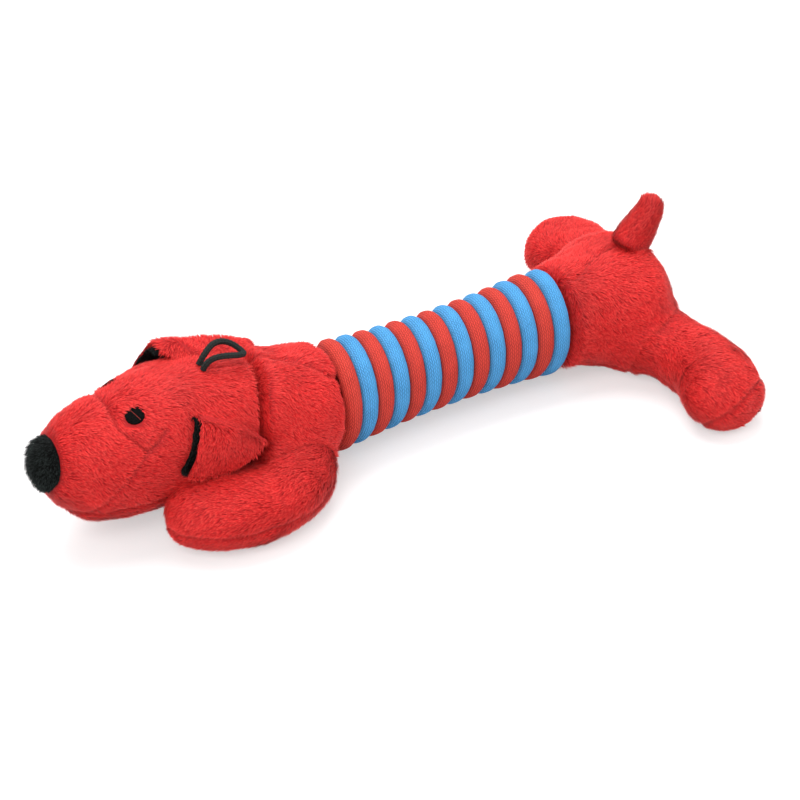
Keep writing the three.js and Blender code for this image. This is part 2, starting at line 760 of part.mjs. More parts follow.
// Torso
piece(toy, 'rope_blue', woundTube(bluePath), cordBlue);
piece(toy, 'rope_red', woundTube(redPath), cordRed);
piece(toy, 'torso_sleeve', makeSleeve(), canvas);
piece(toy, 'torso_stuffing', makeSleeveWad(), fibre);
const chest = splitLevel(seated(chestForm(0)).subtract(tuckAt(-1)), bellySeamHeight);
piece(toy, 'chest_cover', chest.above, plushRed);
piece(toy, 'chest_belly_panel', chest.below, plushRed);
const rump = splitLevel(seated(rumpForm(0)).subtract(tuckAt(1)), bellySeamHeight);
piece(toy, 'rump_cover', rump.above, plushRed);
piece(toy, 'rump_belly_panel', rump.below, plushRed);

// Head, which nods up about the top of the neck
const head = movingPart(toy, new THREE.Vector3(neckX, 0, neckTopHeight));
const bareHead = splitLevel(headForm(0), chinSeamHeight);
piece(head, 'head_cover', bareHead.above.subtract(muzzleBlock(gap)).subtract(chamber()), plushRed);
const muzzle = bareHead.above.intersect(muzzleBlock(0)).subtract(noseBlock(gap));
piece(head, 'muzzle_cover', muzzle, plushRed);
piece(head, 'chin_panel', bareHead.below, plushRed);
piece(head, 'nose_patch', bareHead.above.intersect(noseBlock(0)), plushBlack);
piece(head, 'head_stuffing', wad(), fibre);
piece(head, 'squeaker_base', squeakerBase(), hardPlastic);
piece(head, 'squeaker_reed', squeakerReed(), hardPlastic);
piece(head, 'squeaker_bellows', squeakerBellows(), softVinyl);
piece(head, 'hang_loop', hangLoop(), plushBlack);
const press = movingPart(head, new THREE.Vector3(chamberX, 0, capZ));
piece(press, 'squeaker_cap', squeakerCap(), softVinyl);

// What comes in a left and a right copy
const copies = [
  { side: -1, name: 'left', reachShare: 1, back: 0 },
  { side: 1, name: 'right', reachShare: rightReachShare, back: rightHindBack },
];
for (const { side, name, reachShare, back } of copies) {
  piece(head, `eye_${name}`, eyePatch(side), plushBlack);

  const earRoot = new THREE.Vector3(neckX - earRootAhead, (side * earRootSpread) / 2, earRootHeight);
  const ear = movingPart(head, earRoot);
  piece(ear, `ear_${name}`, earLayer(side, earCoverThickness, earCoverLift), plushRed);
  piece(ear, `ear_lining_${name}`, earLayer(side, earLiningThickness, earLiningLift), plushBlack);

  const shoulderAt = [-windingEnd - frontHingeAhead, side * frontHingeOut, axisHeight];
  const shoulder = movingPart(toy, new THREE.Vector3(...shoulderAt));
  const frontLeg = seated(frontLegForm(side)).subtract(chestForm(gap)).subtract(headForm(gap));
  const frontHalves = splitLevel(frontLeg, frontSoleSeam);
  piece(shoulder, `front_leg_${name}`, frontHalves.above, plushRed);
  piece(shoulder, `front_sole_${name}`, frontHalves.below, plushRed);

  const hipAt = [windingEnd + hindHingeBehind, side * hindHingeOut, axisHeight];
  const hip = movingPart(toy, new THREE.Vector3(...hipAt));
  const hindLeg = seated(hindLegForm(side, reachShare, back)).subtract(rumpForm(gap));
  const seamAt = [windingEnd + hindSeamBehind + back, side * reachShare * hindSeamOut, hindSeamHeight];
  const [backSlant, outSlant, upSlant] = hindSeamSlants;
  const hindHalves = splitSlanted(hindLeg, seamAt, [backSlant, side * outSlant, upSlant]);
  piece(hip, `hind_leg_${name}`, hindHalves.behind, plushRed);
  piece(hip, `hind_sole_${name}`, hindHalves.front, plushRed);
}

// Tail, which bends back about the rear edge of its root
const dock = movingPart(toy, new THREE.Vector3(windingEnd + tailHingeBehind, 0, tailHingeHeight));
piece(dock, 'tail', tailForm().subtract(rumpForm(gap)), plushRed);

// The toy stands on Z = 0 with its middle over the origin
const bounds = new THREE.Box3().setFromObject(toy);
const middle = bounds.getCenter(new THREE.Vector3());
toy.position.set(-middle.x, -middle.y, -bounds.min.z);

export default toy;
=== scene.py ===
"""The finished look of a soft squeaky dog toy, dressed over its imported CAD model.

Lengths are millimetres in the toy's own frame, until `placed` turns them into metres in the frame
that was loaded. The middle of the wound sleeve is X = 0, Y = 0, the nose points along -X, +Z is up
and the dog's left side faces -Y. Values whose names end in share or shares are parts of a size.
"""

import math

import bpy
import numpy as np
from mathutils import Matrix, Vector


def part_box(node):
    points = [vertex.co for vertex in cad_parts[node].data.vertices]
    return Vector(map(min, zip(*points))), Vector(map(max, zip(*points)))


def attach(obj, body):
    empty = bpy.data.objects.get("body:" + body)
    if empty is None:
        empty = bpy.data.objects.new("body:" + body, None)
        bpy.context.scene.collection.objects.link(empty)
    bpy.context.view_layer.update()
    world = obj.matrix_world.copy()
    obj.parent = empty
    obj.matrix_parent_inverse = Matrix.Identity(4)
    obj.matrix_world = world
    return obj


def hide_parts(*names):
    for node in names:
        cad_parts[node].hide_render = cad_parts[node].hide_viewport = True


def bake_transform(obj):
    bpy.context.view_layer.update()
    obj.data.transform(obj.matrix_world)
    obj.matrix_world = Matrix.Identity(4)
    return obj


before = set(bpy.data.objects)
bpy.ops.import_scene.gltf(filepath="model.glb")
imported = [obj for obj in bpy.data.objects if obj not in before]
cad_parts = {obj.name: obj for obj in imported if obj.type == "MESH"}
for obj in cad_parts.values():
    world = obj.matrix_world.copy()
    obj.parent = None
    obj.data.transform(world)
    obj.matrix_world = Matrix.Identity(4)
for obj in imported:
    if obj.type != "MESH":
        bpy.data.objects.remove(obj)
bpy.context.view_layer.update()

MM = 0.001
SLEEVE_LOW, SLEEVE_HIGH = (np.array(corner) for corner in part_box("torso_sleeve"))
TOY_MIDDLE = (SLEEVE_LOW + SLEEVE_HIGH) / 2 * (1, 1, 0)


def placed(points):
    """Points in millimetres of the toy's own frame, as metres in the loaded frame."""
    return np.asarray(points, float) * MM + TOY_MIDDLE


# Camera

PHOTO_SIDE = 800
FOCAL_PIXELS = 2051.85
SENSOR_WIDTH = 36.0
AIM = np.array([0.0, 0.0, 27.0])
AIM_PIXEL = (435.274, 358.303)
CAMERA_AWAY = 900.0
CAMERA_TURN = math.radians(-31.23)
CAMERA_RISE = math.radians(35.0)


def make_camera():
    """The photograph's view: the aim point shows at AIM_PIXEL of an 800 x 800 image."""
    level = math.cos(CAMERA_RISE)
    toward = np.array([
        math.sin(CAMERA_TURN) * level, -math.cos(CAMERA_TURN) * level, math.sin(CAMERA_RISE),
    ])
    data = bpy.data.cameras.new("camera")
    data.sensor_width = SENSOR_WIDTH
    data.lens = FOCAL_PIXELS * SENSOR_WIDTH / PHOTO_SIDE
    data.shift_x = (PHOTO_SIDE / 2 - AIM_PIXEL[0]) / PHOTO_SIDE
    data.shift_y = (AIM_PIXEL[1] - PHOTO_SIDE / 2) / PHOTO_SIDE
    camera = bpy.data.objects.new("camera", data)
    camera.location = placed(AIM + CAMERA_AWAY * toward)
    camera.rotation_euler = Vector(-toward).to_track_quat("-Z", "Y").to_euler()
    bpy.context.scene.collection.objects.link(camera)
    bpy.context.scene.camera = camera


make_camera()

# Sizes, as in the part's source

GAP = 0.35
FLOOR_CUT = 0.5
CORD_DIAMETER = 7.7
CORD_SPACING = 8.1
TURNS_PER_CORD = 7
END_RADIUS = 24.2
WAIST_RADIUS = 21.2
AXIS_HEIGHT = 27.0
LEAD = 2 * CORD_SPACING
WINDING_END = TURNS_PER_CORD * CORD_SPACING
WINDING_SLOPE = LEAD / 2 / (2 * END_RADIUS - CORD_DIAMETER)

CHEST = {"length": 41.5, "width": 56.0, "height": 56.5, "back_round": 4.0, "front_round": 2.0}
RUMP = {"length": 64.0, "width": 68.0, "height": 54.5, "front_round": 4.0, "back_round": 21.0}
HEAD = {"length": 90.0, "width": 56.0, "height": 61.0, "neck_round": 2.5, "snout_round": 13.0}
NECK_X = -WINDING_END - CHEST["length"]
NOSE_X = NECK_X - HEAD["length"]
BELLY_SEAM_HEIGHT = 7.5
CHIN_RISE = 7.0
CHIN_SEAM_HEIGHT = 21.5
MUZZLE_LENGTH = 33.5
CHEEK_CORNER_HEIGHT = 49.0
CHEEK_CORNER_BACK = 7.7
SEAM_BEND_HEIGHT = 58.0
MOUTH_SWEEP = 26.0
NOSE = {"width": 26.0, "height": 29.0, "middle": 45.0, "depth": 8.4, "slant": 0.25}
EYE = {"diameter": 8.2, "spread": 24.6, "behind_seam": 8.3, "height": 60.4, "right_out": 3.2}
EAR = {"length": 42.0, "width": 41.0, "cover": 3.4, "lining": 1.6, "spread": 26.0, "ahead": 11.3,
       "height": 62.6, "slope": 0.11, "splay": 0.26, "root_round": 2.6, "tip_round": 8.0}
FRONT_LEG = {"length": 67.0, "width": 36.0, "height": 31.0, "start": 15.5, "end_share": 0.38}
FRONT_SOLE_SEAM = 14.0
HIND_LEG = {"length": 91.5, "width": 37.5, "height": 34.0, "behind": 51.0, "start_share": 0.2,
            "end_share": 0.42}
HIND_SEAM_PLACE = (51.3, 79.8, 28.9)
HIND_SEAM_SLANTS = (0.356, 0.604, -0.713)
HIND_SEAM_SHIFT = 8.0
LIMB_SEAT = 1.2
RIGHT_REACH_SHARE = 0.875
RIGHT_HIND_BACK = 6.0
TAIL = {"length": 28.0, "width": 15.0, "behind": 46.0, "root": 50.0, "round": 3.0}

# How square the forms' sections are: the power of their superellipses, 2 for an ellipse

ELLIPSE = 2.0
CHEST_SQUARE = 2.15
RUMP_SQUARE = 2.2
HEAD_SQUARE = 2.1
EAR_SQUARE = 2.6

# The dog's two sides: the way along Y, and the name
SIDES = ((-1, "left"), (1, "right"))


# Hang loop, the one cord whose ends are not hidden

LOOP_DIAMETER = 2.5
LOOP_ROUTE = [
    (-111.2, -2.0, 62.9), (-110.3, -2.1, 64.5), (-109.0, -2.2, 65.8), (-107.3, -2.5, 66.8),
    (-105.4, -3.0, 67.4), (-103.3, -3.6, 67.6), (-101.0, -4.1, 67.4), (-98.6, -4.4, 66.9),
    (-96.3, -4.2, 66.1), (-94.3, -3.4, 65.2), (-92.9, -2.1, 64.4), (-92.4, -0.3, 64.1),
    (-92.8, 1.6, 64.5), (-93.9, 3.3, 65.5), (-95.6, 4.5, 66.7), (-97.7, 5.2, 67.8),
    (-100.0, 5.3, 68.5), (-102.4, 4.9, 68.7), (-104.6, 4.2, 68.3), (-106.6, 3.4, 67.3),
    (-108.3, 2.8, 66.1), (-109.8, 2.3, 64.7), (-111.2, 2.0, 62.9),
]


# Shapes worked out as whole arrays

TINY = 1e-9
TURN = 2 * math.pi


def unit(vectors):
    """Vectors along the last axis, made one long."""
    return vectors / np.maximum(np.linalg.norm(vectors, axis=-1, keepdims=True), TINY)


def between(rows, share):
    """Every column of a table at shares of its length, on one smooth curve through its rows: a
    cubic between two rows, whose end slopes are half the step between their neighbours."""
    last = len(rows) - 1
    at = np.clip(share, 0, 1) * last
    k = np.clip(np.floor(at).astype(int), 0, last - 1)
    t = (at - k)[..., None]
    before, here, after, beyond = (rows[np.clip(k + step, 0, last)] for step in (-1, 0, 1, 2))
    slope_in, slope_out = (after - before) / 2, (beyond - here) / 2
    return (here + t * slope_in + t**2 * (3 * (after - here) - 2 * slope_in - slope_out)
            + t**3 * (2 * (here - after) + slope_in + slope_out))


DRIFT_WAVES = 6
DRIFT_WAVE_SHARES = (0.7, 1.4)


def drift(points, size, seed):
    """A smooth field from about -1 to 1 in space: six sines, each along a way of its own, with
    waves about `size` long, added and evened out by a tanh."""
    rng = np.random.default_rng(seed)
    ways = unit(rng.normal(size=(DRIFT_WAVES, 3))) * (TURN / size)
    ways = ways * rng.uniform(*DRIFT_WAVE_SHARES, (DRIFT_WAVES, 1))
    starts = rng.uniform(0, TURN, DRIFT_WAVES)
    return np.tanh(np.sin(points @ ways.T + starts).sum(-1) / 2)


def bell(distance, reach):
    """The bell curve of a distance: 1 at zero, and 1/e at the reach."""
    return np.exp(-(distance / reach) ** 2)


class Shell:
    """A closed surface of triangles. `cloth` is true for the faces that show, and false for the
    ones that close a cut."""

    def __init__(self, points, faces, cloth=None):
        self.points = np.asarray(points, float)
        self.faces = np.asarray(faces, int)
        self.cloth = np.ones(len(self.faces), bool) if cloth is None else cloth

    def normals(self):
        """At each point, the sum of the showing faces' normals there, each as long as its area."""
        faces = self.faces[self.cloth]
        a, b, c = (self.points[faces[:, k]] for k in range(3))
        flat = np.cross(b - a, c - a)
        total = np.zeros_like(self.points)
        for k in range(3):
            np.add.at(total, faces[:, k], flat)
        return unit(total)

    def kept(self, value):
        """The part where a value per point is above zero. Each face across the zero line is cut
        there in proportion, and the cut is closed by a fan round its middle."""
        inside = value > 0
        count = inside[self.faces].sum(1)
        crossed = (count == 1) | (count == 2)
        corners, lone_inside = self.faces[crossed], count[crossed] == 1
        lone = np.argmax(inside[corners] == lone_inside[:, None], axis=1)
        corners = np.take_along_axis(corners, (lone[:, None] + np.arange(3)) % 3, 1)
        edges = np.sort(np.concatenate([corners[:, [0, 1]], corners[:, [0, 2]]]), axis=1)
        edges, index = np.unique(edges, axis=0, return_inverse=True)
        index = index.reshape(2, -1) + len(self.points)
        low, high = value[edges[:, 0]], value[edges[:, 1]]
        share = (low / (low - high))[:, None]
        new = self.points[edges[:, 0]] * (1 - share) + self.points[edges[:, 1]] * share
        hub = len(self.points) + len(new)
        first, second, cloth = index[0], index[1], self.cloth[crossed]
        one, two = lone_inside, ~lone_inside
        hubs = np.full(len(corners), hub)
        rim = np.where(one[:, None], np.stack([second, first], 1), np.stack([first, second], 1))
        pieces = [
            (self.faces[count == 3], self.cloth[count == 3]),
            (np.stack([corners[:, 0], first, second], 1)[one], cloth[one]),
            (np.stack([first, corners[:, 1], corners[:, 2]], 1)[two], cloth[two]),
            (np.stack([first, corners[:, 2], second], 1)[two], cloth[two]),
            (np.column_stack([rim, hubs]), np.zeros(len(corners), bool)),
        ]
        middle = new.mean(0, keepdims=True) if len(new) else np.zeros((1, 3))
        points = np.concatenate([self.points, new, middle])
        faces = np.concatenate([faces for faces, _ in pieces])
        used, faces = np.unique(faces, return_inverse=True)
        flags = np.concatenate([flags for _, flags in pieces])
        return Shell(points[used], faces.reshape(-1, 3), flags)


# How finely a spine is measured, and searched for its nearest spot, how far apart its slope is
# read, how much closer a cap's rings lie, the least half size that a distance is measured by, and
# in how many rounds the section at a point is found
SPINE_STEPS = 400
SPINE_LOOKS = 60
SLOPE_SHARE = 1 / 8
CAP_CROWDING = 1.5
LEAST_HALF = 0.5
SECTION_ROUNDS = 3


class Form:
    """A stuffed form. Each row is (x, y, z, half width, half height, egg, lean, splay): the middle
    of a section, its half sizes, how much wider it is above than below, and its slants. The
    sections are superellipses on a smooth spine, and shrink to nothing in a round cap at each end.
    By its stance a section is square to the spine, upright, or the edge of a flap whose width runs
    along the toy. `square` is the superellipse's power, and `lift` moves a section upward."""

    def __init__(self, rows, start_round, end_round, stance="spine", square=ELLIPSE, lift=0.0):
        self.rows = np.array(rows, float)
        self.start_round, self.end_round = start_round, end_round
        self.stance, self.square, self.lift = stance, square, lift
        self.shares = np.linspace(0, 1, SPINE_STEPS)
        self.spine = between(self.rows, self.shares)[:, :3]
        steps = np.linalg.norm(np.diff(self.spine, axis=0), axis=1)
        self.runs = np.concatenate([[0], np.cumsum(steps)])
        self.total = self.runs[-1]

    def section(self, run):
        """The middle, the two axes and the table's numbers of the section at a run of the spine."""
        share = np.interp(run, self.runs, self.shares)
        row, near = between(self.rows, share), SLOPE_SHARE / len(self.rows)
        ahead = between(self.rows, np.minimum(share + near, 1))[..., :3]
        way = unit(ahead - between(self.rows, np.maximum(share - near, 0))[..., :3])
        lean, splay, zero = row[..., 6], row[..., 7], np.zeros_like(row[..., 6])
        if self.stance == "upright":
            side = np.stack([zero, np.sign(way[..., 0]), zero], -1)
            up = np.stack([lean, zero, zero + 1], -1)
        else:
            flap = self.stance == "flap"
            side = [zero + 1, -splay, -lean] if flap else [-way[..., 1], way[..., 0], zero]
            side = unit(np.stack(side, -1))
            up = unit(np.cross(way, side))
        return row[..., :3] + self.lift * up, side, up, row

    def closing(self, run):
        """The share of its full size that a section has: the quarter circles of both caps."""
        start = np.maximum(0, 1 - run / self.start_round)
        end = np.maximum(0, 1 - (self.total - run) / self.end_round)
        return np.sqrt((1 - start**2) * (1 - end**2))

    def surface(self, run, angle):
        """Points at a run of the spine and an angle from the section's top, the superellipse
        side * sin^(2/q) + up * cos^(2/q), with the side widened by egg * cos."""
        run, angle = np.broadcast_arrays(run, angle)
        middle, side, up, row = self.section(run)
        c, s, close = np.cos(angle), np.sin(angle), self.closing(run)
        wide = np.sign(s) * np.abs(s) ** (2 / self.square) * row[..., 3] * close
        wide = wide * (1 + row[..., 5] * c)
        high = np.sign(c) * np.abs(c) ** (2 / self.square) * row[..., 4] * close
        return middle + wide[..., None] * side + high[..., None] * up

    def cap(self, reach, spacing):
        """The rings' places in a cap, from its end inward: reach * (1 - cos) of even quarter-circle
        steps."""
        count = max(3, math.ceil(reach * CAP_CROWDING / spacing))
        return reach * (1 - np.cos(np.arange(1, count + 1) / count * TURN / 4))

    def shell(self, spacing):
        """The whole surface as a closed shell, in rings about `spacing` apart that crowd in the
        caps, each end closed round one point."""
        start, end = (self.cap(reach, spacing) for reach in (self.start_round, self.end_round))
        end = self.total - end[::-1]
        count = max(2, math.ceil((end[0] - start[-1]) / spacing))
        run = np.concatenate([start, np.linspace(start[-1], end[0], count + 1)[1:-1], end])
        around = TURN * np.sqrt((self.rows[:, 3:5] ** 2).mean(1)).max()
        sides = math.ceil(around / spacing)
        angle = np.arange(sides) / sides * TURN
        grid = self.surface(run[:, None], angle[None, :])
        ends = [self.section(np.array(at))[0] for at in (0.0, self.total)]
        points = np.concatenate([ends[0][None], grid.reshape(-1, 3), ends[1][None]])
        return Shell(points, ring_faces(len(run), sides, len(points) - 1))

    def outside(self, points):
        """About how far points lie outside an upright form: the superellipse radius at their
        section beyond 1, times the section's smaller half size."""
        x, y, z = points.T
        way = np.sign(self.spine[-1, 0] - self.spine[0, 0])
        run = np.interp(way * x, way * self.spine[:, 0], self.runs)
        for _ in range(SECTION_ROUNDS):
            _, _, up, row = self.section(run)
            level = x - up[:, 0] * (z - row[:, 2])
            run = np.interp(way * level, way * self.spine[:, 0], self.runs)
        _, _, _, row = self.section(run)
        close = self.closing(run)
        high = np.maximum(row[:, 4] * close, LEAST_HALF)
        egg = 1 + row[:, 5] * np.clip((z - row[:, 2]) / high, -1, 1)
        wide = np.maximum(row[:, 3] * close * egg, LEAST_HALF)
        radius = (np.abs(y) / wide) ** self.square + (np.abs(z - row[:, 2]) / high) ** self.square
        return (radius ** (1 / self.square) - 1) * np.minimum(wide, high)

    def beyond(self, points):
        """About how far points lie outside a form on a free spine: the ellipse radius beyond 1 in
        the section at the nearest spot of the spine, times the section's smaller half size."""
        run = np.linspace(0, self.total, SPINE_LOOKS)
        middle, side, up, row = self.section(run)
        gaps = ((points[:, None] - middle[None]) ** 2).sum(-1)
        near = gaps.argmin(1)
        away = points - middle[near]
        wide = np.maximum(row[near, 3] * self.closing(run)[near], LEAST_HALF)
        high = np.maximum(row[near, 4] * self.closing(run)[near], LEAST_HALF)
        radius = np.hypot((away * side[near]).sum(-1) / wide, (away * up[near]).sum(-1) / high)
        return (radius - 1) * np.minimum(wide, high)


def ring_faces(rings, sides, last):
    """Triangles between rings of points, with point 0 before the first and `last` after the last."""
    i, j = np.meshgrid(np.arange(rings - 1), np.arange(sides), indexing="ij")
    at = lambda ring, side: 1 + ring * sides + side % sides
    a, b, c, d = at(i, j), at(i, j + 1), at(i + 1, j + 1), at(i + 1, j)
    j = np.arange(sides)
    zero, end = np.zeros(sides, int), np.full(sides, last)
    faces = [np.stack([a, c, b], -1), np.stack([a, d, c], -1),
             np.stack([zero, at(0, j), at(0, j + 1)], -1),
             np.stack([end, at(rings - 1, j + 1), at(rings - 1, j)], -1)]
    return np.concatenate([part.reshape(-1, 3) for part in faces])


def sized(shares, start, along, length, width, height, side=1, reach=None, base=None):
    """Rows of real sizes for a Form, from rows of shares of the form's own sizes: `along` is the
    way that the form runs, and `reach` and `base` are the sizes that its places across and up are
    shares of."""
    reach, base = reach or length, base or height
    rows = []
    for ahead, out, up, half_width, half_height, *slants in shares:
        egg, lean, splay = [*slants, 0, 0, 0][:3]
        rows.append([start[0] + along * ahead * length, start[1] + side * out * reach,
                     start[2] + up * base, half_width * width, half_height * height,
                     egg, lean, side * splay])
    return rows


# Stuffed forms, with the tables of the part's source

CHEST_SHARES = [
    (0.00, 0, 0.475, 0.42, 0.42, 0, WINDING_SLOPE),
    (0.15, 0, 0.47, 0.475, 0.46, 0, WINDING_SLOPE * 0.8),
    (0.42, 0, 0.485, 0.505, 0.49, 0, WINDING_SLOPE * 0.3),
    (0.75, 0, 0.52, 0.51, 0.525),
    (1.00, 0, 0.515, 0.475, 0.52),
]
RUMP_SHARES = [
    (0.00, 0, 0.52, 0.35, 0.385, 0, WINDING_SLOPE),
    (0.14, 0, 0.52, 0.38, 0.405, 0, WINDING_SLOPE * 0.8),
    (0.28, 0, 0.497, 0.405, 0.447, 0, WINDING_SLOPE * 0.5),
    (0.45, 0, 0.485, 0.475, 0.49, 0, WINDING_SLOPE * 0.2),
    (0.62, 0, 0.49, 0.505, 0.50),
    (0.80, 0, 0.485, 0.445, 0.51),
    (1.00, 0, 0.435, 0.365, 0.45),
]
HEAD_SHARES = [
    (0.00, 0, 0.475, 0.435, 0.36, 0.06),
    (0.13, 0, 0.467, 0.482, 0.434, 0.10),
    (0.30, 0, 0.475, 0.50, 0.475, 0.12),
    (0.467, 0, 0.475, 0.475, 0.468, 0.10),
    (0.578, 0, 0.45, 0.438, 0.455, 0.08),
    (0.689, 0, 0.448, 0.402, 0.433, 0.08),
    (0.80, 0, 0.462, 0.345, 0.378, 0.08),
    (0.90, 0, 0.50, 0.258, 0.265, 0.02),
    (1.00, 0, 0.57, 0.205, 0.18),
]
FRONT_LEG_SHARES = [
    (0.03, 0.41, 0.50, 0.425, 0.47),
    (0.145, 0.68, 0.505, 0.49, 0.505),
    (0.31, 0.917, 0.485, 0.503, 0.485),
    (0.54, 1.00, 0.495, 0.49, 0.495),
    (0.765, 0.87, 0.51, 0.48, 0.51),
    (1.00, 0.50, 0.475, 0.438, 0.465),
]
HIND_LEG_SHARES = [
    (-0.05, 0.11, 0.53, 0.42, 0.49),
    (-0.06, 0.27, 0.50, 0.455, 0.49),
    (-0.03, 0.46, 0.495, 0.41, 0.485),
    (-0.01, 0.66, 0.48, 0.48, 0.48),
    (-0.055, 0.82, 0.46, 0.505, 0.46),
    (-0.08, 0.975, 0.505, 0.45, 0.495),
]
TAIL_SHARES = [
    (-0.06, 0, 0.00, 0.62, 0.72),
    (0.11, 0, 0.25, 0.58, 0.60),
    (0.30, 0, 0.545, 0.50, 0.43),
    (0.48, 0, 0.85, 0.36, 0.33),
]
EAR_SHARES = [
    (-0.05, -0.02, -0.02, 0.345, 0.5, 0, EAR["slope"], EAR["splay"]),
    (-0.01, 0.145, 0.02, 0.335, 0.5, 0, EAR["slope"], EAR["splay"]),
    (0.045, 0.30, -0.14, 0.355, 0.5, 0, EAR["slope"] / 2, EAR["splay"] * 0.6),
    (0.122, 0.417, -0.40, 0.395, 0.5, 0, EAR["slope"] / 4, EAR["splay"] * 0.3),
    (0.228, 0.403, -0.717, 0.46, 0.5),
]


def chest_form():
    """The chest, from the cords forward to the neck."""
    start = (-WINDING_END - GAP, 0, -FLOOR_CUT)
    rows = sized(CHEST_SHARES, start, -1, CHEST["length"] - GAP, CHEST["width"], CHEST["height"])
    return Form(rows, CHEST["back_round"], CHEST["front_round"], "upright", CHEST_SQUARE)


def rump_form():
    """The rump, from the cords back to its round end."""
    start = (WINDING_END + GAP, 0, -FLOOR_CUT)
    rows = sized(RUMP_SHARES, start, 1, RUMP["length"], RUMP["width"], RUMP["height"])
    return Form(rows, RUMP["front_round"], RUMP["back_round"], "upright", RUMP_SQUARE)


def head_form():
    """The head, from the neck forward to the nose."""
    start = (NECK_X - GAP, 0, CHIN_RISE)
    rows = sized(HEAD_SHARES, start, -1, HEAD["length"] - GAP, HEAD["width"], HEAD["height"])
    return Form(rows, HEAD["neck_round"], HEAD["snout_round"], "upright", HEAD_SQUARE)


def front_leg_form(side):
    """A front leg, from inside the chest forward and out."""
    leg = FRONT_LEG
    start = (-WINDING_END - leg["start"], 0, -FLOOR_CUT)
    rows = sized(FRONT_LEG_SHARES, start, -1, leg["length"], leg["width"], leg["height"], side,
                 leg["width"])
    return Form(rows, leg["width"] * leg["end_share"], leg["width"] * leg["end_share"])


def hind_leg_form(side, reach_share, back):
    """A hind leg, from inside the rump straight out to the side."""
    leg = HIND_LEG
    start = (WINDING_END + leg["behind"] + back, 0, -FLOOR_CUT)
    rows = sized(HIND_LEG_SHARES, start, 1, leg["length"], leg["width"], leg["height"], side,
                 reach_share * leg["length"])
    return Form(rows, leg["width"] * leg["start_share"], leg["width"] * leg["end_share"])


def tail_form():
    """The tail, from inside the rump up and back."""
    tail = TAIL
    start = (WINDING_END + tail["behind"], 0, tail["root"])
    rows = sized(TAIL_SHARES, start, 1, tail["length"], tail["width"], tail["width"],
                 base=tail["length"])
    return Form(rows, tail["round"], tail["round"])


def ear_form(side, thickness, lift, forward):
    """One layer of an ear, `lift` off the ear's middle and `forward` of its front edge."""
    ear = EAR
    start = (NECK_X - ear["ahead"] - forward, side * ear["spread"] / 2, ear["height"])
    rows = sized(EAR_SHARES, start, -1, ear["length"], ear["width"], thickness, side,
                 base=ear["length"])
    return Form(rows, ear["root_round"], ear["tip_round"], "flap", EAR_SQUARE, -side * lift)


# Materials

def new_material(name):
    """A material with a node tree of its own: (material, tree, shader)."""
    material = bpy.data.materials.new(name)
    material.use_nodes = True
    return material, material.node_tree, material.node_tree.nodes["Principled BSDF"]


def add(tree, kind, values=None, **settings):
    """A new node, with its settings and with values or links for its inputs."""
    made = tree.nodes.new(kind)
    for key, value in settings.items():
        setattr(made, key, value)
    for socket, value in (values or {}).items():
        if isinstance(value, bpy.types.NodeSocket):
            tree.links.new(value, made.inputs[socket])
        else:
            made.inputs[socket].default_value = value
    return made


def maths(tree, operation, first, second=0.0):
    """The output of one math node."""
    return add(tree, "ShaderNodeMath", {0: first, 1: second}, operation=operation).outputs[0]


def linear(hex_colour):
    """An sRGB colour written as rrggbb, as the linear numbers that a shader takes, by the sRGB
    standard's own formula."""
    parts = np.array([int(hex_colour[k:k + 2], 16) for k in (0, 2, 4)]) / 255
    low = parts <= 0.04045
    return (*np.where(low, parts / 12.92, ((parts + 0.055) / 1.055) ** 2.4), 1.0)


def ramp(tree, value, stops):
    """The colour output of a ramp through (place, rrggbb) stops."""
    made = add(tree, "ShaderNodeValToRGB", {0: value})
    elements = made.color_ramp.elements
    while len(elements) < len(stops):
        elements.new(0.5)
    for element, (place, colour) in zip(elements, stops):
        element.position, element.color = place, linear(colour)
    return made.outputs["Color"]


def grain(tree, scale, detail=2.0, roughness=0.5):
    """Noise in the piece's own metres, with about `scale` lumps to the metre."""
    place = add(tree, "ShaderNodeTexCoord").outputs["Object"]
    values = {"Vector": place, "Scale": scale, "Detail": detail, "Roughness": roughness}
    return add(tree, "ShaderNodeTexNoise", values).outputs["Fac"]


def bumped(tree, shader, height, strength, distance):
    """Gives the shader a bump of a height map."""
    values = {"Height": height, "Strength": strength, "Distance": distance}
    tree.links.new(add(tree, "ShaderNodeBump", values).outputs["Normal"], shader.inputs["Normal"])


PILE_ROUGHNESS = 0.62
PILE_SHEEN_ROUGHNESS = 0.5
CORD_GLOSS = 0.2
GRAIN_GLOSS_SHARE = 0.5
# The braid's pattern: how far its dashes slant, how flat they are along and across, how much fuzz
# tones them, the fuzz's lumps to the metre, and where the ramp's dark and light ends lie; the dark
# end is painted shade in the hollows between the dashes
BRAID = {"slant": 1.7, "along": 0.6, "across": 0.5, "fuzz": 0.5, "fine": 900.0, "coarse": 150.0,
         "fine_detail": 4.0, "fine_roughness": 0.7, "tone": 0.62, "dark": 0.12, "light": 0.8,
         "depth": 0.0004}
GRAIN = {"detail": 4.0, "roughness": 0.6, "dark": 0.3, "light": 0.7, "depth": 0.0002}


def plush(name, stops, sheen, sheen_tint, gloss):
    """Short pile. A strand's colour runs along the stops from its root to its tip by the `along`
    values, from painted shade deep in the pile to a painted highlight at the tip, and the `tone`
    values lighten and darken it."""
    material, tree, shader = new_material(name)
    along = add(tree, "ShaderNodeAttribute", attribute_name="along").outputs["Fac"]
    tone = add(tree, "ShaderNodeAttribute", attribute_name="tone").outputs["Fac"]
    colour = add(tree, "ShaderNodeHueSaturation", {"Value": tone, "Color": ramp(tree, along, stops)})
    tree.links.new(colour.outputs["Color"], shader.inputs["Base Color"])
    shader.inputs["Roughness"].default_value = PILE_ROUGHNESS
    shader.inputs["Specular IOR Level"].default_value = gloss
    shader.inputs["Sheen Weight"].default_value = sheen
    shader.inputs["Sheen Roughness"].default_value = PILE_SHEEN_ROUGHNESS
    shader.inputs["Sheen Tint"].default_value = linear(sheen_tint)
    return material


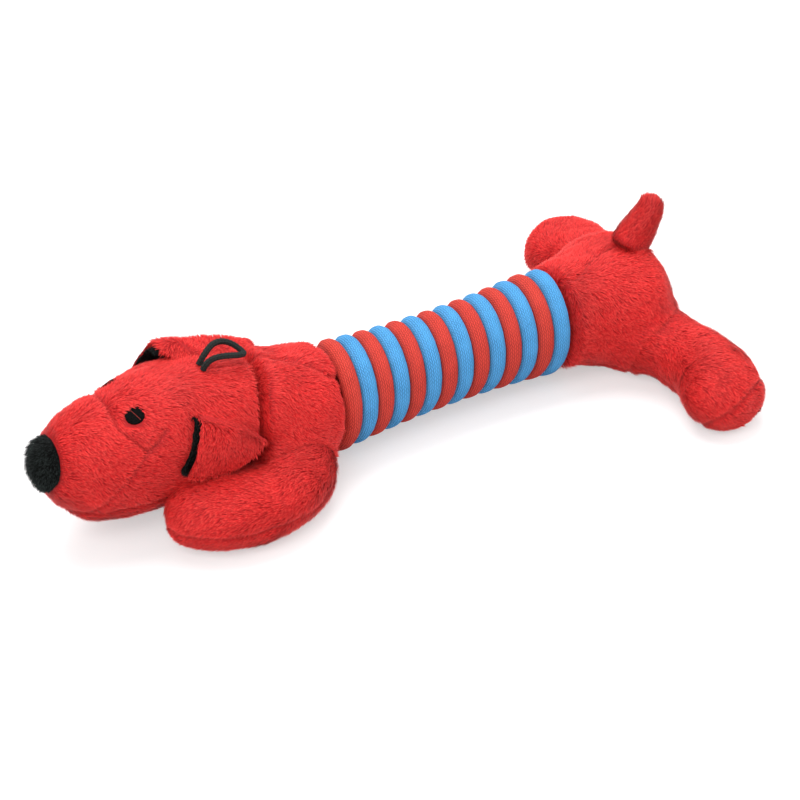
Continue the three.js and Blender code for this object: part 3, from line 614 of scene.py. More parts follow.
def braided(name, dark, light, rows, dashes, bump, roughness=0.85, sheen=0.12):
    """Braided cord on the piece's own map, u along it in millimetres and v round it. Rows of short
    dashes run along the cord, slanted one way in even rows and the other in odd ones: the height
    is |sin| of the phase along, times sin across the row, each to a power that flattens it. Its colour
    follows that height with the fuzz: painted shade in the hollows, lighter on the crowns."""
    material, tree, shader = new_material(name)
    lay = add(tree, "ShaderNodeUVMap", uv_map="lay").outputs[0]
    place = add(tree, "ShaderNodeSeparateXYZ", {0: lay})
    row = maths(tree, "MULTIPLY", place.outputs["Y"], rows)
    number = maths(tree, "FLOOR", row)
    across = maths(tree, "SUBTRACT", row, number)
    odd = maths(tree, "MODULO", number, 2.0)
    half_off = [maths(tree, "SUBTRACT", value, 0.5) for value in (across, odd)]
    slant = maths(tree, "MULTIPLY", maths(tree, "MULTIPLY", *half_off), BRAID["slant"])
    step = maths(tree, "MULTIPLY", place.outputs["X"], dashes)
    phase = maths(tree, "ADD", maths(tree, "ADD", step, slant), maths(tree, "MULTIPLY", odd, 0.5))
    wave = maths(tree, "ABSOLUTE", maths(tree, "SINE", maths(tree, "MULTIPLY", phase, TURN / 2)))
    crown = maths(tree, "SINE", maths(tree, "MULTIPLY", across, TURN / 2))
    height = maths(tree, "MULTIPLY", maths(tree, "POWER", wave, BRAID["along"]),
                   maths(tree, "POWER", crown, BRAID["across"]))
    fine = grain(tree, BRAID["fine"], BRAID["fine_detail"], BRAID["fine_roughness"])
    fuzz = maths(tree, "ADD", fine, grain(tree, BRAID["coarse"]))
    # Painted shade in the braid's hollows, with random fuzz
    hollow_shade_and_fuzz = maths(tree, "ADD", height, maths(tree, "MULTIPLY", fuzz, BRAID["fuzz"]))
    stops = [(BRAID["dark"], dark), (BRAID["light"], light)]
    colour = ramp(tree, maths(tree, "MULTIPLY", hollow_shade_and_fuzz, BRAID["tone"]), stops)
    tree.links.new(colour, shader.inputs["Base Color"])
    shader.inputs["Roughness"].default_value = roughness
    shader.inputs["Specular IOR Level"].default_value = CORD_GLOSS
    shader.inputs["Sheen Weight"].default_value = sheen
    shader.inputs["Sheen Tint"].default_value = linear(light)
    bumped(tree, shader, height, bump, BRAID["depth"])
    return material


def grained(name, dark, light, scale, roughness, bump):
    """A plain finish with fine lumps: felt, woven canvas, loose fibre or moulded plastic."""
    material, tree, shader = new_material(name)
    height = grain(tree, scale, GRAIN["detail"], GRAIN["roughness"])
    colour = ramp(tree, height, [(GRAIN["dark"], dark), (GRAIN["light"], light)])
    tree.links.new(colour, shader.inputs["Base Color"])
    shader.inputs["Roughness"].default_value = roughness
    shader.inputs["Specular IOR Level"].default_value = GRAIN_GLOSS_SHARE * (1 - roughness)
    bumped(tree, shader, height, bump, GRAIN["depth"])
    return material


# Finishes. Plush: colours from root to tip, sheen and its tint, gloss; the dark roots are painted
# shade deep in the pile, and the light tips a painted highlight. Braid: dark, light, rows round the
# cord, dashes to the millimetre, bump, roughness, sheen. Others: dark, light, lumps to the metre,
# roughness, bump
RED_STOPS = [(0.0, "a0050b"), (0.5, "ce0d12"), (1.0, "ff4b44")]
BLACK_STOPS = [(0.0, "000000"), (0.6, "020303"), (1.0, "39413f")]
RED_PLUSH = plush("red_plush", RED_STOPS, 0.1, "ff9890", 0.3)
BLACK_PLUSH = plush("black_plush", BLACK_STOPS, 0.02, "9fb0ae", 0.08)
BLUE_CORD = braided("blue_cotton_cord", "1f5288", "5cb0ee", 26.0, 0.7, 1.0)
RED_CORD = braided("red_cotton_cord", "74120f", "e24a3f", 26.0, 0.7, 1.0)
LOOP_CORD = braided("black_loop_cord", "010202", "2b302e", 10.0, 0.8, 1.0, 0.8, 0.0)
BLACK_FELT = grained("black_felt", "060606", "1c1b1b", 2600.0, 1.0, 0.9)
RED_THREAD = grained("red_thread", "5c1815", "8f3b34", 4000.0, 0.8, 0.4)
CANVAS = grained("sleeve_canvas", "6a1613", "8c2a24", 1500.0, 0.9, 0.5)
FIBRE = grained("polyester_fibre", "d8d5cc", "f4f2ec", 600.0, 1.0, 0.8)
SOFT_VINYL = grained("soft_vinyl", "e2dcc9", "efe9d8", 200.0, 0.45, 0.1)
HARD_PLASTIC = grained("hard_plastic", "eae7de", "f4f2eb", 150.0, 0.35, 0.05)

CAD_FINISHES = {
    "torso_stuffing": FIBRE, "head_stuffing": FIBRE,
    "squeaker_base": HARD_PLASTIC, "squeaker_reed": HARD_PLASTIC,
    "squeaker_bellows": SOFT_VINYL, "squeaker_cap": SOFT_VINYL,
}
for node, finish in CAD_FINISHES.items():
    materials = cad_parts[node].data.materials
    materials.clear()
    materials.append(finish)


# Pieces

def new_piece(name, points, faces, material, body, nodes, values=None, maps=None, normals=None):
    """A piece of triangles that stands for CAD nodes, and rides on a body when `body` names one.
    `body` is a body's name, or two bodies and the places where the piece leaves the first and reaches
    the second, which are not used: such a piece stays where it lies. `values` are numbers per point,
    `maps` are pairs of numbers per face corner, `normals` are per point."""
    mesh = bpy.data.meshes.new(name)
    mesh.vertices.add(len(points))
    mesh.vertices.foreach_set("co", placed(points).astype(np.float32).ravel())
    mesh.loops.add(3 * len(faces))
    mesh.loops.foreach_set("vertex_index", faces.astype(np.int32).ravel())
    mesh.polygons.add(len(faces))
    mesh.polygons.foreach_set("loop_start", np.arange(0, 3 * len(faces), 3, dtype=np.int32))
    for key, numbers in (values or {}).items():
        mesh.attributes.new(key, "FLOAT", "POINT").data.foreach_set("value", numbers.astype(np.float32))
    for key, pairs in (maps or {}).items():
        mesh.uv_layers.new(name=key).data.foreach_set("uv", pairs.astype(np.float32).ravel())
    mesh.update(calc_edges=True)
    mesh.shade_smooth()
    if normals is not None:
        mesh.normals_split_custom_set_from_vertices(normals.astype(np.float32))
    mesh.materials.append(material)
    piece = bpy.data.objects.new(name, mesh)
    bpy.context.scene.collection.objects.link(piece)
    if isinstance(body, str):
        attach(piece, body)
    else:
        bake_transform(piece)
    if nodes:
        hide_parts(*nodes)
    return piece


def tube(path, out, radius, sides, relief=None):
    """A closed tube round a path: at each point a ring in the plane square to the path, measured
    from the `out` way, with its radius changed by `relief` of the run and the angle. Returns the
    points, the faces and two maps: "lay" is the run and the share round, and "OFBake" is the same
    skin cut in rows as long as they are high together, laid one above the other."""
    way = unit(np.gradient(path, axis=0))
    out = unit(out - way * (out * way).sum(-1, keepdims=True))
    side = np.cross(way, out)
    run = np.concatenate([[0], np.cumsum(np.linalg.norm(np.diff(path, axis=0), axis=1))])
    around = np.arange(sides) / sides
    angle = around * TURN
    size = np.full((len(run), sides), radius, float)
    if relief:
        size = radius * (1 + relief(run[:, None], angle[None, :]))
    ring = np.cos(angle)[None, :, None] * side[:, None] + np.sin(angle)[None, :, None] * out[:, None]
    grid = path[:, None] + size[..., None] * ring
    points = np.concatenate([path[:1], grid.reshape(-1, 3), path[-1:]])
    faces = ring_faces(len(path), sides, len(points) - 1)
    place = np.stack(np.broadcast_arrays(run[:, None], around[None, :]), -1).reshape(-1, 2)
    pairs = np.concatenate([[[run[0], 0]], place, [[run[-1], 0]]])[faces]
    wraps = (pairs[..., 1].max(1) - pairs[..., 1].min(1)) > 0.5
    pairs[wraps, :, 1] += pairs[wraps, :, 1] < 0.5
    rows = max(1, round(math.sqrt(run[-1] / (TURN * radius))))
    place = pairs[..., 0] / run[-1] * rows
    row = np.minimum(np.floor(place.min(1) + TINY), rows - 1)[:, None]
    folded = np.stack([np.clip(place - row, 0, 1), (row + np.clip(pairs[..., 1], 0, 1)) / rows], -1)
    return points, faces, {"lay": pairs.reshape(-1, 2), "OFBake": folded.reshape(-1, 2)}


def smooth_path(points, count):
    """Evenly shared points on the smooth curve through a route."""
    return between(np.asarray(points, float), np.linspace(0, 1, count))


LOOP_RINGS = 320
LOOP_SIDES = 32
# Added to the ways out of the loop's middle, so that none of them runs along the cord
LOOP_OUT = np.array([0.0, 0.0, 3.0])
LOOP_BRAID = {"depth_share": 0.13, "around": 3, "along": 2.2}


def loop_braid(run, angle):
    """The loop's plaited relief: sines of two helices that wind opposite ways, multiplied."""
    around, along = LOOP_BRAID["around"] * angle, LOOP_BRAID["along"] * run
    return LOOP_BRAID["depth_share"] * np.sin(around + along) * np.sin(around - along)


def make_hang_loop():
    """The thin black cord that stands up in a loop, from the head's top seam and back into it."""
    path = smooth_path(LOOP_ROUTE, LOOP_RINGS)
    out = path - path.mean(0) + LOOP_OUT
    points, faces, maps = tube(path, out, LOOP_DIAMETER / 2, LOOP_SIDES, loop_braid)
    piece = new_piece("hang_loop_cord", points, faces, LOOP_CORD, "head", ["hang_loop"],
                      maps=maps)


make_hang_loop()


# Cords wound side by side, on a canvas sleeve

# How far a cord goes on past each end of its winding, how deep it sinks there, and how much
# thicker its fuzz makes it
CORD_TUCK = 0.3 * TURN
CORD_SINK = 7.0
CORD_SINK_POWER = 1.5
CORD_FUZZ = 0.15
CORD_SIDES = 44
RINGS_PER_TURN = 120
CORD_STRANDS = {"around": 11, "around_share": 0.012, "along": 0.9, "along_share": 0.01, "twist": 2}
SLEEVE_SIDES = 96
SLEEVE_RINGS = 120
SLEEVE_FURROW = 0.5
SLEEVE_TUCK = 7.0


def waist(x):
    """The winding's outer radius, which grows from the waist as the square of the distance."""
    return WAIST_RADIUS + (END_RADIUS - WAIST_RADIUS) * (x / WINDING_END) ** 2


def wound_path(left_x, start, end):
    """A helix round the sleeve's axis, which passes the left side at `left_x`, at an angle of a
    quarter turn. Past both of its ends the cord goes on by CORD_TUCK and sinks in as that share to
    the power CORD_SINK_POWER, so that it dives under the plush."""
    rings = round((end - start + 2 * CORD_TUCK) / TURN * RINGS_PER_TURN) + 1
    angle = np.linspace(start - CORD_TUCK, end + CORD_TUCK, rings)
    past_share = (np.maximum(start - angle, 0) + np.maximum(angle - end, 0)) / CORD_TUCK
    x = left_x - LEAD * (angle - TURN / 4) / TURN
    radius = waist(x) - CORD_DIAMETER / 2 - CORD_SINK * past_share**CORD_SINK_POWER
    out = np.stack([np.zeros_like(angle), -np.sin(angle), np.cos(angle)], -1)
    middle = np.stack([x, np.zeros_like(x), np.full_like(x, AXIS_HEIGHT)], -1)
    return middle + radius[:, None] * out, out


def cord_strands(run, angle):
    """The low swell and sink of a cord's strands: a sine round the cord, and a slow sine along it
    that winds round."""
    strands = CORD_STRANDS
    along = np.sin(run * strands["along"] + strands["twist"] * angle)
    return strands["around_share"] * np.sin(strands["around"] * angle) + strands["along_share"] * along


def make_wound_cord(colour, left_x, start, end, material):
    """One braided cord of the winding, a little thicker than its solid by its fuzz."""
    path, out = wound_path(left_x, start, end)
    points, faces, maps = tube(path, out, CORD_DIAMETER / 2 + CORD_FUZZ, CORD_SIDES, cord_strands)
    new_piece(f"{colour}_cord", points, faces, material, "torso", [f"rope_{colour}"],
              maps=maps)


def make_sleeve():
    """The canvas sleeve under the cords. Its radius follows the winding's, a cord's thickness
    further in, and swells between neighbouring turns as the cosine of the helix's phase."""
    half = WINDING_END + SLEEVE_TUCK
    x = np.linspace(-half, half, SLEEVE_RINGS)[:, None]
    angle = (np.arange(SLEEVE_SIDES) / SLEEVE_SIDES * TURN)[None, :]
    phase = TURN * (FIRST_BLUE_X - x) / CORD_SPACING - 2 * (angle - TURN / 4)
    radius = waist(x) - CORD_DIAMETER - GAP - SLEEVE_FURROW * (0.5 + 0.5 * np.cos(phase))
    grid = np.stack([x + 0 * angle, -radius * np.sin(angle), AXIS_HEIGHT + radius * np.cos(angle)], -1)
    ends = [np.array([[at, 0, AXIS_HEIGHT]]) for at in (-half, half)]
    points = np.concatenate([ends[0], grid.reshape(-1, 3), ends[1]])
    faces = ring_faces(SLEEVE_RINGS, SLEEVE_SIDES, len(points) - 1)[:, ::-1]
    new_piece("canvas_sleeve", points, faces, CANVAS, "torso", ["torso_sleeve"])


# Where each cord first passes the left side, from the rump, and the angles that it winds between
FIRST_BLUE_X = WINDING_END - CORD_SPACING / 2
FIRST_RED_X = FIRST_BLUE_X - CORD_SPACING
FULL_TURNS = TURN * (TURNS_PER_CORD - 1)
BLUE_ANGLES = (0, FULL_TURNS + TURN * 3 / 4)
RED_ANGLES = (-TURN / 4, FULL_TURNS + TURN / 2)
make_wound_cord("blue", FIRST_BLUE_X, *BLUE_ANGLES, BLUE_CORD)
make_wound_cord("red", FIRST_RED_X, *RED_ANGLES, RED_CORD)
make_sleeve()


# Plush: the cloth under the pile, and the pile on it

NAP_DEPTH = 0.9
SEAM_DEPTH = 0.8
SEAM_REACH = 1.3
CLOTH_SPACING = 1.25
# The cloth under the pile takes the ramp's colour at this share, near the root: painted shade deep in the
# pile
CLOTH_ALONG = 0.12
LEAST_HEIGHT = 0.15
NOWHERE = 99.0
STRANDS_PER_MM2 = 5.5
STRAND_LENGTH = 3.3
STRAND_WIDTH = 0.36
STRAND_LEAN = 1.36
STRAND_CURL = 0.16
MOST_LEAN = 1.5
STRAND_SIZE_SHARES = (0.7, 1.2)
STRAND_MIDDLE_SHARE = 0.8
# Beside a seam: the share that a strand keeps of its length, how much painted shade darkens it in
# the seam's groove, and how far from the seam each of the two reaches
SEAM_LENGTH_SHARE, SEAM_LENGTH_REACH = 0.5, 1.8
SEAM_PAINTED_SHADE, SEAM_PAINTED_SHADE_REACH = 0.3, 1.0
# How a strand takes light: tilted along it and across it, and rounded over its width
LIGHT_TILT, LIGHT_TILT_EACH, LIGHT_ROUND = 0.25, 0.18, 0.35

# Drifts over the cloth, each (depth, wave, seed), and how much each strand differs by itself
CLOTH_DRIFTS = [(0.35, 22.0, 8), (0.2, 9.0, 9)]
TURN_DRIFTS, TURN_EACH = [(0.4, 30.0, 3), (0.2, 9.0, 4)], 0.1
LEAN_DRIFTS, LEAN_EACH = [(0.08, 12.0, 5)], 0.1
TONE_DRIFTS, TONE_EACH = [(0.05, 2.6, 6), (0.035, 14.0, 7)], 0.055

# Painted shade on the pile, where its nap lies the other way, in creases and on sides turned from the
# light: (x, y, z), reach, how much
PAINTED_SHADE_SPOTS = [
    ((-80, -38, 27), 14, 0.12), ((-90, -12, 54), 10, 0.10), ((-68, -6, 52), 8, 0.05),
    ((66, -12, 46), 9, 0.12), ((62, -20, 38), 9, 0.12), ((97, -64, 30), 10, 0.12),
    ((-124, -9, 63), 7, 0.12), ((-129, -15, 62), 6, 0.10), ((-106, -33, 44), 7, 0.08),
    ((96, -30, 40), 5, 0.05), ((-92, -31, 29), 9, 0.06), ((104, 60, 30), 12, 0.05),
    ((106, 0, 60), 12, 0.10), ((122, -4, 66), 16, 0.34), ((-140, -24, 40), 10, 0.05),
    ((-104, -28, 48), 8, 0.10),
]


def painted_shade(points):
    """How much painted shade darkens the pile at points: a bell round each listed place."""
    total = np.zeros(len(points))
    for place, reach, depth in PAINTED_SHADE_SPOTS:
        total += depth * bell(np.linalg.norm(points - place, axis=-1), reach)
    return total


def drifted(points, start, drifts):
    """A start value plus several drifts, each given as (depth, wave, seed)."""
    return sum((depth * drift(points, size, seed) for depth, size, seed in drifts), start)


def scattered(shell, density, rng):
    """Random spots on a shell's showing faces, as many to each face as its area asks for. Returns
    a function that mixes any per-point values at the spots, by their shares of the corners."""
    faces = shell.faces[shell.cloth]
    a, b, c = (shell.points[faces[:, k]] for k in range(3))
    area = np.linalg.norm(np.cross(b - a, c - a), axis=1) / 2
    count = int(area.sum() * density)
    corners = faces[rng.choice(len(faces), count, p=area / area.sum())]
    s, t = np.sqrt(rng.random(count)), rng.random(count)
    weights = np.stack([1 - s, s * (1 - t), s * t], 1)
    return lambda values: np.einsum("ij,ij...->i...", weights, values[corners])


def strands(shell, normals, seam, lay, density, length, upright, rng, bald=()):
    """The pile of a shell: bent flat strands of three faces, rooted at random spots. A strand
    leans from the cloth's normal toward the lay, more in its upper half, and is shorter beside a
    seam, where painted shade darkens it. It takes light as the cloth does, rounded a little across its
    width. `bald` lists (place, reach) spots without pile. Returns points, faces, normals, along and tone."""
    mixed = scattered(shell, density, rng)
    root, normal, near = mixed(shell.points), unit(mixed(normals)), mixed(seam)
    keep = np.ones(len(root), bool)
    for place, reach in bald:
        keep &= ((root - place) ** 2).sum(-1) > reach**2
    root, normal, near = root[keep], normal[keep], near[keep]
    count = len(root)

    flow = lay(root)
    flow = unit(flow - normal * (flow * normal).sum(-1, keepdims=True))
    turn = drifted(root, 0, TURN_DRIFTS) + TURN_EACH * rng.normal(size=count)
    across = np.cross(normal, flow)
    flow = flow * np.cos(turn)[:, None] + across * np.sin(turn)[:, None]
    across = np.cross(normal, flow)
    bent = lambda angle: normal * np.cos(angle)[:, None] + flow * np.sin(angle)[:, None]

    lean = drifted(root, STRAND_LEAN - upright, LEAN_DRIFTS) + LEAN_EACH * rng.normal(size=count)
    kept_share = SEAM_LENGTH_SHARE + (1 - SEAM_LENGTH_SHARE) * (1 - bell(near, SEAM_LENGTH_REACH))
    step = (length * rng.uniform(*STRAND_SIZE_SHARES, count) * kept_share / 2)[:, None]
    middle = root + step * bent(np.clip(lean - STRAND_CURL, 0, MOST_LEAN))
    tip = middle + step * bent(np.clip(lean + STRAND_CURL, 0, MOST_LEAN))
    half = across * (STRAND_WIDTH / 2 * rng.uniform(*STRAND_SIZE_SHARES, count))[:, None]
    upper = STRAND_MIDDLE_SHARE * half
    points = np.stack([root - half, root + half, middle - upper, middle + upper, tip], 1)
    points[..., 2] = np.maximum(points[..., 2], LEAST_HEIGHT)
    corners = points.shape[1]
    start = corners * np.arange(count)[:, None]
    faces = np.concatenate([start + (0, 3, 1), start + (0, 2, 3), start + (2, 4, 3)])

    tilt = LIGHT_TILT * bent(lean + TURN / 4)
    tilt = tilt + LIGHT_TILT_EACH * rng.normal(size=(count, 1)) * across
    sides = LIGHT_ROUND * np.array([-1, 1, -1, 1, 0])[None, :, None]
    lit = unit((normal - tilt)[:, None] + sides * across[:, None])
    # Painted shade at the listed places, and tone that differs at random
    tone = 1 - painted_shade(root) + drifted(root, 0, TONE_DRIFTS) + TONE_EACH * rng.normal(size=count)
    # Painted shade in the seam's groove
    tone = tone - SEAM_PAINTED_SHADE * bell(near, SEAM_PAINTED_SHADE_REACH)
    along = np.tile([0, 0, 0.5, 0.5, 1], count)
    return points.reshape(-1, 3), faces, lit.reshape(-1, 3), along, np.repeat(tone, corners)


def nearest(*distances):
    """The least of several distances at each point, whatever their signs."""
    return np.minimum.reduce([np.abs(distance) for distance in distances])


TONE_LOW, TONE_SPAN = 0.3, 1.2
MAP_MARGIN = 0.02


def colour_map(along, tone, faces):
    """A place on the map for each face corner, that depends on nothing but the pile's colour
    there: tone across and `along` up, so that faces that share a place share a colour."""
    place = np.stack([np.clip((tone - TONE_LOW) / TONE_SPAN, 0, 1), along], -1)
    return (MAP_MARGIN + (1 - 2 * MAP_MARGIN) * place)[faces].reshape(-1, 2)


STUFFING_FILL = 0.85


def stuffed(name, shell, seams, lay, nodes, body, material=RED_PLUSH, slot="plush_red", nap=NAP_DEPTH,
            density=STRANDS_PER_MM2, length=STRAND_LENGTH, upright=0.0, bald=(), fill=STUFFING_FILL):
    """A stuffed plush piece. The cloth lies the nap's depth inside the form and dips along its
    seams as the bell of the distance to them, and the pile grows back out to the form."""
    rng = np.random.default_rng(sum(name.encode()))
    seam = seams(shell.points)
    depth = drifted(shell.points, nap + SEAM_DEPTH * bell(seam, SEAM_REACH), CLOTH_DRIFTS)
    cloth = Shell(shell.points - shell.normals() * depth[:, None], shell.faces, shell.cloth)
    cloth.points[:, 2] = np.maximum(cloth.points[:, 2], LEAST_HEIGHT)
    bumps = cloth.normals()
    grown = strands(cloth, bumps, seam, lay, density, length, upright, rng, bald)
    # The cloth under the pile takes the same painted shade at the listed places
    under = (cloth.points, cloth.faces, bumps, np.full(len(cloth.points), CLOTH_ALONG),
             1 - painted_shade(cloth.points))
    grown = (grown[0], grown[1] + len(cloth.points), *grown[2:])
    points, faces, lit, along, tone = (np.concatenate(pair) for pair in zip(under, grown))
    piece = new_piece(name, points, faces, material, body, nodes, {"along": along, "tone": tone},
                      {"OFBake": colour_map(along, tone, faces)}, lit)


def flowing(x, y, z):
    """A lay that runs one way everywhere."""
    return lambda points: np.broadcast_to(np.array([x, y, z], float), points.shape)


def mirrored(place, side):
    """A place or way that is given for the right side, on the side asked for."""
    x, y, z = place
    return x, side * y, z


chest, rump, head = chest_form(), rump_form(), head_form()
# How far from a limb the cloth starts to swell toward it, and the share of that at which the
# two shells meet
SHOULDER_FILLET, TAIL_FILLET = 9.0, 3.5
HIP_FILLET = {"front": 12.0, "behind": 5.0, "turn": 104.0, "over": 16.0}
MEETING_SHARE = 0.25
NECK = {"lean": 8.0, "reach": 12.0, "most_share": 1.1, "power": 2.5}
SWEEP = {"side": 0.6, "over": 10.0, "fall": 1.6}


def joined(shell, gap, reach):
    """A shell that swells toward a neighbour, as in a smooth union of the two: outward by
    reach * (1 - sqrt(gap / reach))^2, where `gap` is the distance to the neighbour."""
    share = np.clip(gap / reach, MEETING_SHARE, 1)
    swell = reach * (1 - np.sqrt(share)) ** 2
    return Shell(shell.points + shell.normals() * swell[:, None], shell.faces, shell.cloth)


def hip_reach(points):
    """How far from each other the rump and a hind leg start to swell: far in front of the leg and
    near behind it, with an even change between."""
    share = np.clip((HIP_FILLET["turn"] - points[:, 0]) / HIP_FILLET["over"], 0, 1)
    return HIP_FILLET["behind"] + (HIP_FILLET["front"] - HIP_FILLET["behind"]) * share


def join_line(gap, reach):
    """Distance to the line where two joined shells meet."""
    return gap - reach * MEETING_SHARE


def neck_slanted(shell):
    """The neck's groove leans back over the chest: points near it move back, by the bell of their
    distance from it times a power of their share of the height."""
    near = bell(shell.points[:, 0] - NECK_X, NECK["reach"])
    rise_share = (shell.points[:, 2] - AXIS_HEIGHT) / (CHEST["height"] - AXIS_HEIGHT)
    rise_share = np.clip(rise_share, 0, NECK["most_share"])
    shell.points[:, 0] += NECK["lean"] * near * rise_share ** NECK["power"]
    return shell


def swept(back, down):
    """A lay that runs backward along the toy, and also out and down from its top middle by the
    tanh of the distance from it."""

    def lay(points):
        """The lay at each point."""
        side = SWEEP["side"] * np.tanh(points[:, 1] / SWEEP["over"])
        fall = np.stack([np.zeros(len(points)), side, -down * np.abs(side) * SWEEP["fall"]], -1)
        return fall + (back, 0, 0)

    return lay


# Chest and rump

# The seams along the tops, as (x, y) places: slantwise from the neck to the cords, and from the
# cords to the tail
CHEST_TOP_SEAM = [(-98.0, 2.0), (-80.0, 0.0), (-72.5, -3.3), (-66.0, -8.6), (-61.0, -14.0)]
RUMP_TOP_SEAM = [(60.0, -4.0), (68.0, -6.0), (80.0, -1.4), (92.0, 2.0)]
CHEST_LAY = swept(1.0, 0.9)
RUMP_LAY = swept(0.9, 1.2)


def top_seam(places):
    """A function that gives the distance to the seam through places on a form's top."""
    x, y = zip(*places)
    return lambda points: np.where(points[:, 2] > AXIS_HEIGHT,
                                   points[:, 1] - np.interp(points[:, 0], x, y), NOWHERE)


def split(name, whole, seam, others, lay, nodes, body):
    """Two pieces of a form, on the two sides of a seam given as the distance from it."""
    both = lambda points: nearest(seam(points), others(points))
    for part, node, sign in zip(("_top", "_sole"), nodes, (1, -1)):
        stuffed(name + part, whole.kept(sign * seam(whole.points)), both, lay, [node], body)


def above(height):
    """A function that gives how far points lie above a level seam."""
    return lambda points: points[:, 2] - height


# Each side's hind leg: the share of the full length that it reaches out, and how far back it sits
HIND_PLACES = {-1: (1, 0), 1: (RIGHT_REACH_SHARE, RIGHT_HIND_BACK)}
FRONT_LEGS = {side: front_leg_form(side) for side, _ in SIDES}
HIND_LEGS = {side: hind_leg_form(side, *HIND_PLACES[side]) for side, _ in SIDES}
TAIL_STEM = tail_form()


def make_chest():
    """The chest's two panels, swollen toward both shoulders and slanted at the neck."""
    shell = chest.shell(CLOTH_SPACING)
    gap = nearest(*(leg.beyond(shell.points) for leg in FRONT_LEGS.values()))
    shell = neck_slanted(joined(shell, gap, SHOULDER_FILLET))
    split("chest", shell, above(BELLY_SEAM_HEIGHT), top_seam(CHEST_TOP_SEAM),
          CHEST_LAY, ["chest_cover", "chest_belly_panel"], "torso")


def make_rump():
    """The rump's two panels, swollen toward both hips and the tail."""
    shell = rump.shell(CLOTH_SPACING)
    gap = nearest(*(leg.beyond(shell.points) for leg in HIND_LEGS.values()))
    shell = joined(shell, gap, hip_reach(shell.points))
    shell = joined(shell, nearest(TAIL_STEM.beyond(shell.points)), TAIL_FILLET)
    split("rump", shell, above(BELLY_SEAM_HEIGHT), top_seam(RUMP_TOP_SEAM),
          RUMP_LAY, ["rump_cover", "rump_belly_panel"], "torso")


make_chest()
make_rump()


# Head

CREASE = {"run": 10.0, "rise": 7.5, "off_middle": 12.0, "length": 11.0}
CROWN_SEAM = {"front": -112.0, "y": -2.0, "narrow": 2.5}
MUZZLE_DIP = {"depth": 1.5, "x": -176.0, "reach": 12.0}
HEAD_LAY = swept(0.8, 0.75)
NOSE_LAY = flowing(-0.3, 0.1, -1.0)
CHIN_LAY = flowing(1, 0, 0)
NOSE_PILE = {"density": 6.0, "length": 3.2, "upright": 0.7}
NECK_BEND_HEIGHT = 30.0
NECK_BEND_LENGTH = 20.0
NECK_BEND = ("torso", "head", (NECK_X, 0, NECK_BEND_HEIGHT),
             (NECK_X - NECK_BEND_LENGTH, 0, NECK_BEND_HEIGHT))


def muzzle_seam_x(z):
    """The seam from the muzzle's top down to the cheek's corner, and forward to the chin panel."""
    top, corner = NOSE_X + MUZZLE_LENGTH, NOSE_X + MUZZLE_LENGTH + CHEEK_CORNER_BACK
    heights = [CHIN_SEAM_HEIGHT, CHEEK_CORNER_HEIGHT, SEAM_BEND_HEIGHT]
    return np.interp(z, heights, [corner - MOUTH_SWEEP, corner, top])


def in_nose(points):
    """How far points lie inside the nose patch: within its ellipse and in front of its depth."""
    rise = points[:, 2] - NOSE["middle"]
    across, up = points[:, 1] / (NOSE["width"] / 2), rise / (NOSE["height"] / 2)
    ellipse = (1 - np.hypot(across, up)) * NOSE["width"] / 2
    return np.minimum(ellipse, NOSE_X + NOSE["depth"] + NOSE["slant"] * rise - points[:, 0])


def ahead_of_seam(points):
    """How far points lie in front of the muzzle's seam."""
    return muzzle_seam_x(points[:, 2]) - points[:, 0]


def cheek_crease(points):
    """Distance to the crease that carries the mouth seam on past the cheek's corner, up and back."""
    start = np.array([NOSE_X + MUZZLE_LENGTH + CHEEK_CORNER_BACK, 0, CHEEK_CORNER_HEIGHT])
    run = (points - start) @ unit(np.array([CREASE["run"], 0, CREASE["rise"]]))
    off = (points - start) @ unit(np.array([-CREASE["rise"], 0, CREASE["run"]]))
    past = np.maximum(run - CREASE["length"], 0) + np.maximum(-run, 0)
    return np.where(np.abs(points[:, 1]) < CREASE["off_middle"], NOWHERE, np.hypot(off, past))


# The grid on which a form is searched for the spot nearest to a place, and the step of its slopes
LOOK_RUNS, LOOK_ANGLES = 300, 400
SLOPE_STEP = 0.01


def spot_on(form, target):
    """The run and the angle at which a form comes nearest to a place, of a fine grid of both."""
    run, angle = np.meshgrid(np.linspace(0, form.total, LOOK_RUNS), np.linspace(0, TURN, LOOK_ANGLES),
                             indexing="ij")
    best = ((form.surface(run, angle) - target) ** 2).sum(-1).argmin()
    return run.ravel()[best], angle.ravel()[best]


def patch_on(form, target, across, along):
    """Points of a form's surface at small offsets from the spot nearest to a place, measured in
    the tangent plane: the offsets are turned into run and angle by the inverse of the surface's
    own slopes. Also returns the spot's normal."""
    run, angle = spot_on(form, target)
    here, further, round_on = form.surface(run + SLOPE_STEP * np.array([0, 1, 0]),
                                           angle + SLOPE_STEP * np.array([0, 0, 1]))
    by_run, by_angle = (further - here) / SLOPE_STEP, (round_on - here) / SLOPE_STEP
    normal = unit(np.cross(by_run, by_angle))
    normal = normal if normal[2] > 0 else -normal
    first = unit(by_run - normal * (by_run @ normal))
    second = np.cross(normal, first)
    slopes = np.array([[by_run @ first, by_angle @ first], [by_run @ second, by_angle @ second]])
    inverse = np.linalg.inv(slopes)
    runs = run + inverse[0, 0] * along + inverse[0, 1] * across
    angles = angle + inverse[1, 0] * along + inverse[1, 1] * across
    return form.surface(runs, angles), normal


EYE_FELT = {"rise": 0.8, "sink": 0.9, "rim_power": 6, "rings": 10, "sides": 40}
EYE_BALD = {"ahead": 1.6, "up": 0.3, "past": 0.5}
STITCH = {"reach_share": 0.88, "radius": 0.15, "dip": 0.12, "rings": 40, "sides": 8}
STITCH_WAY = (0.3, 0.9, -0.3)


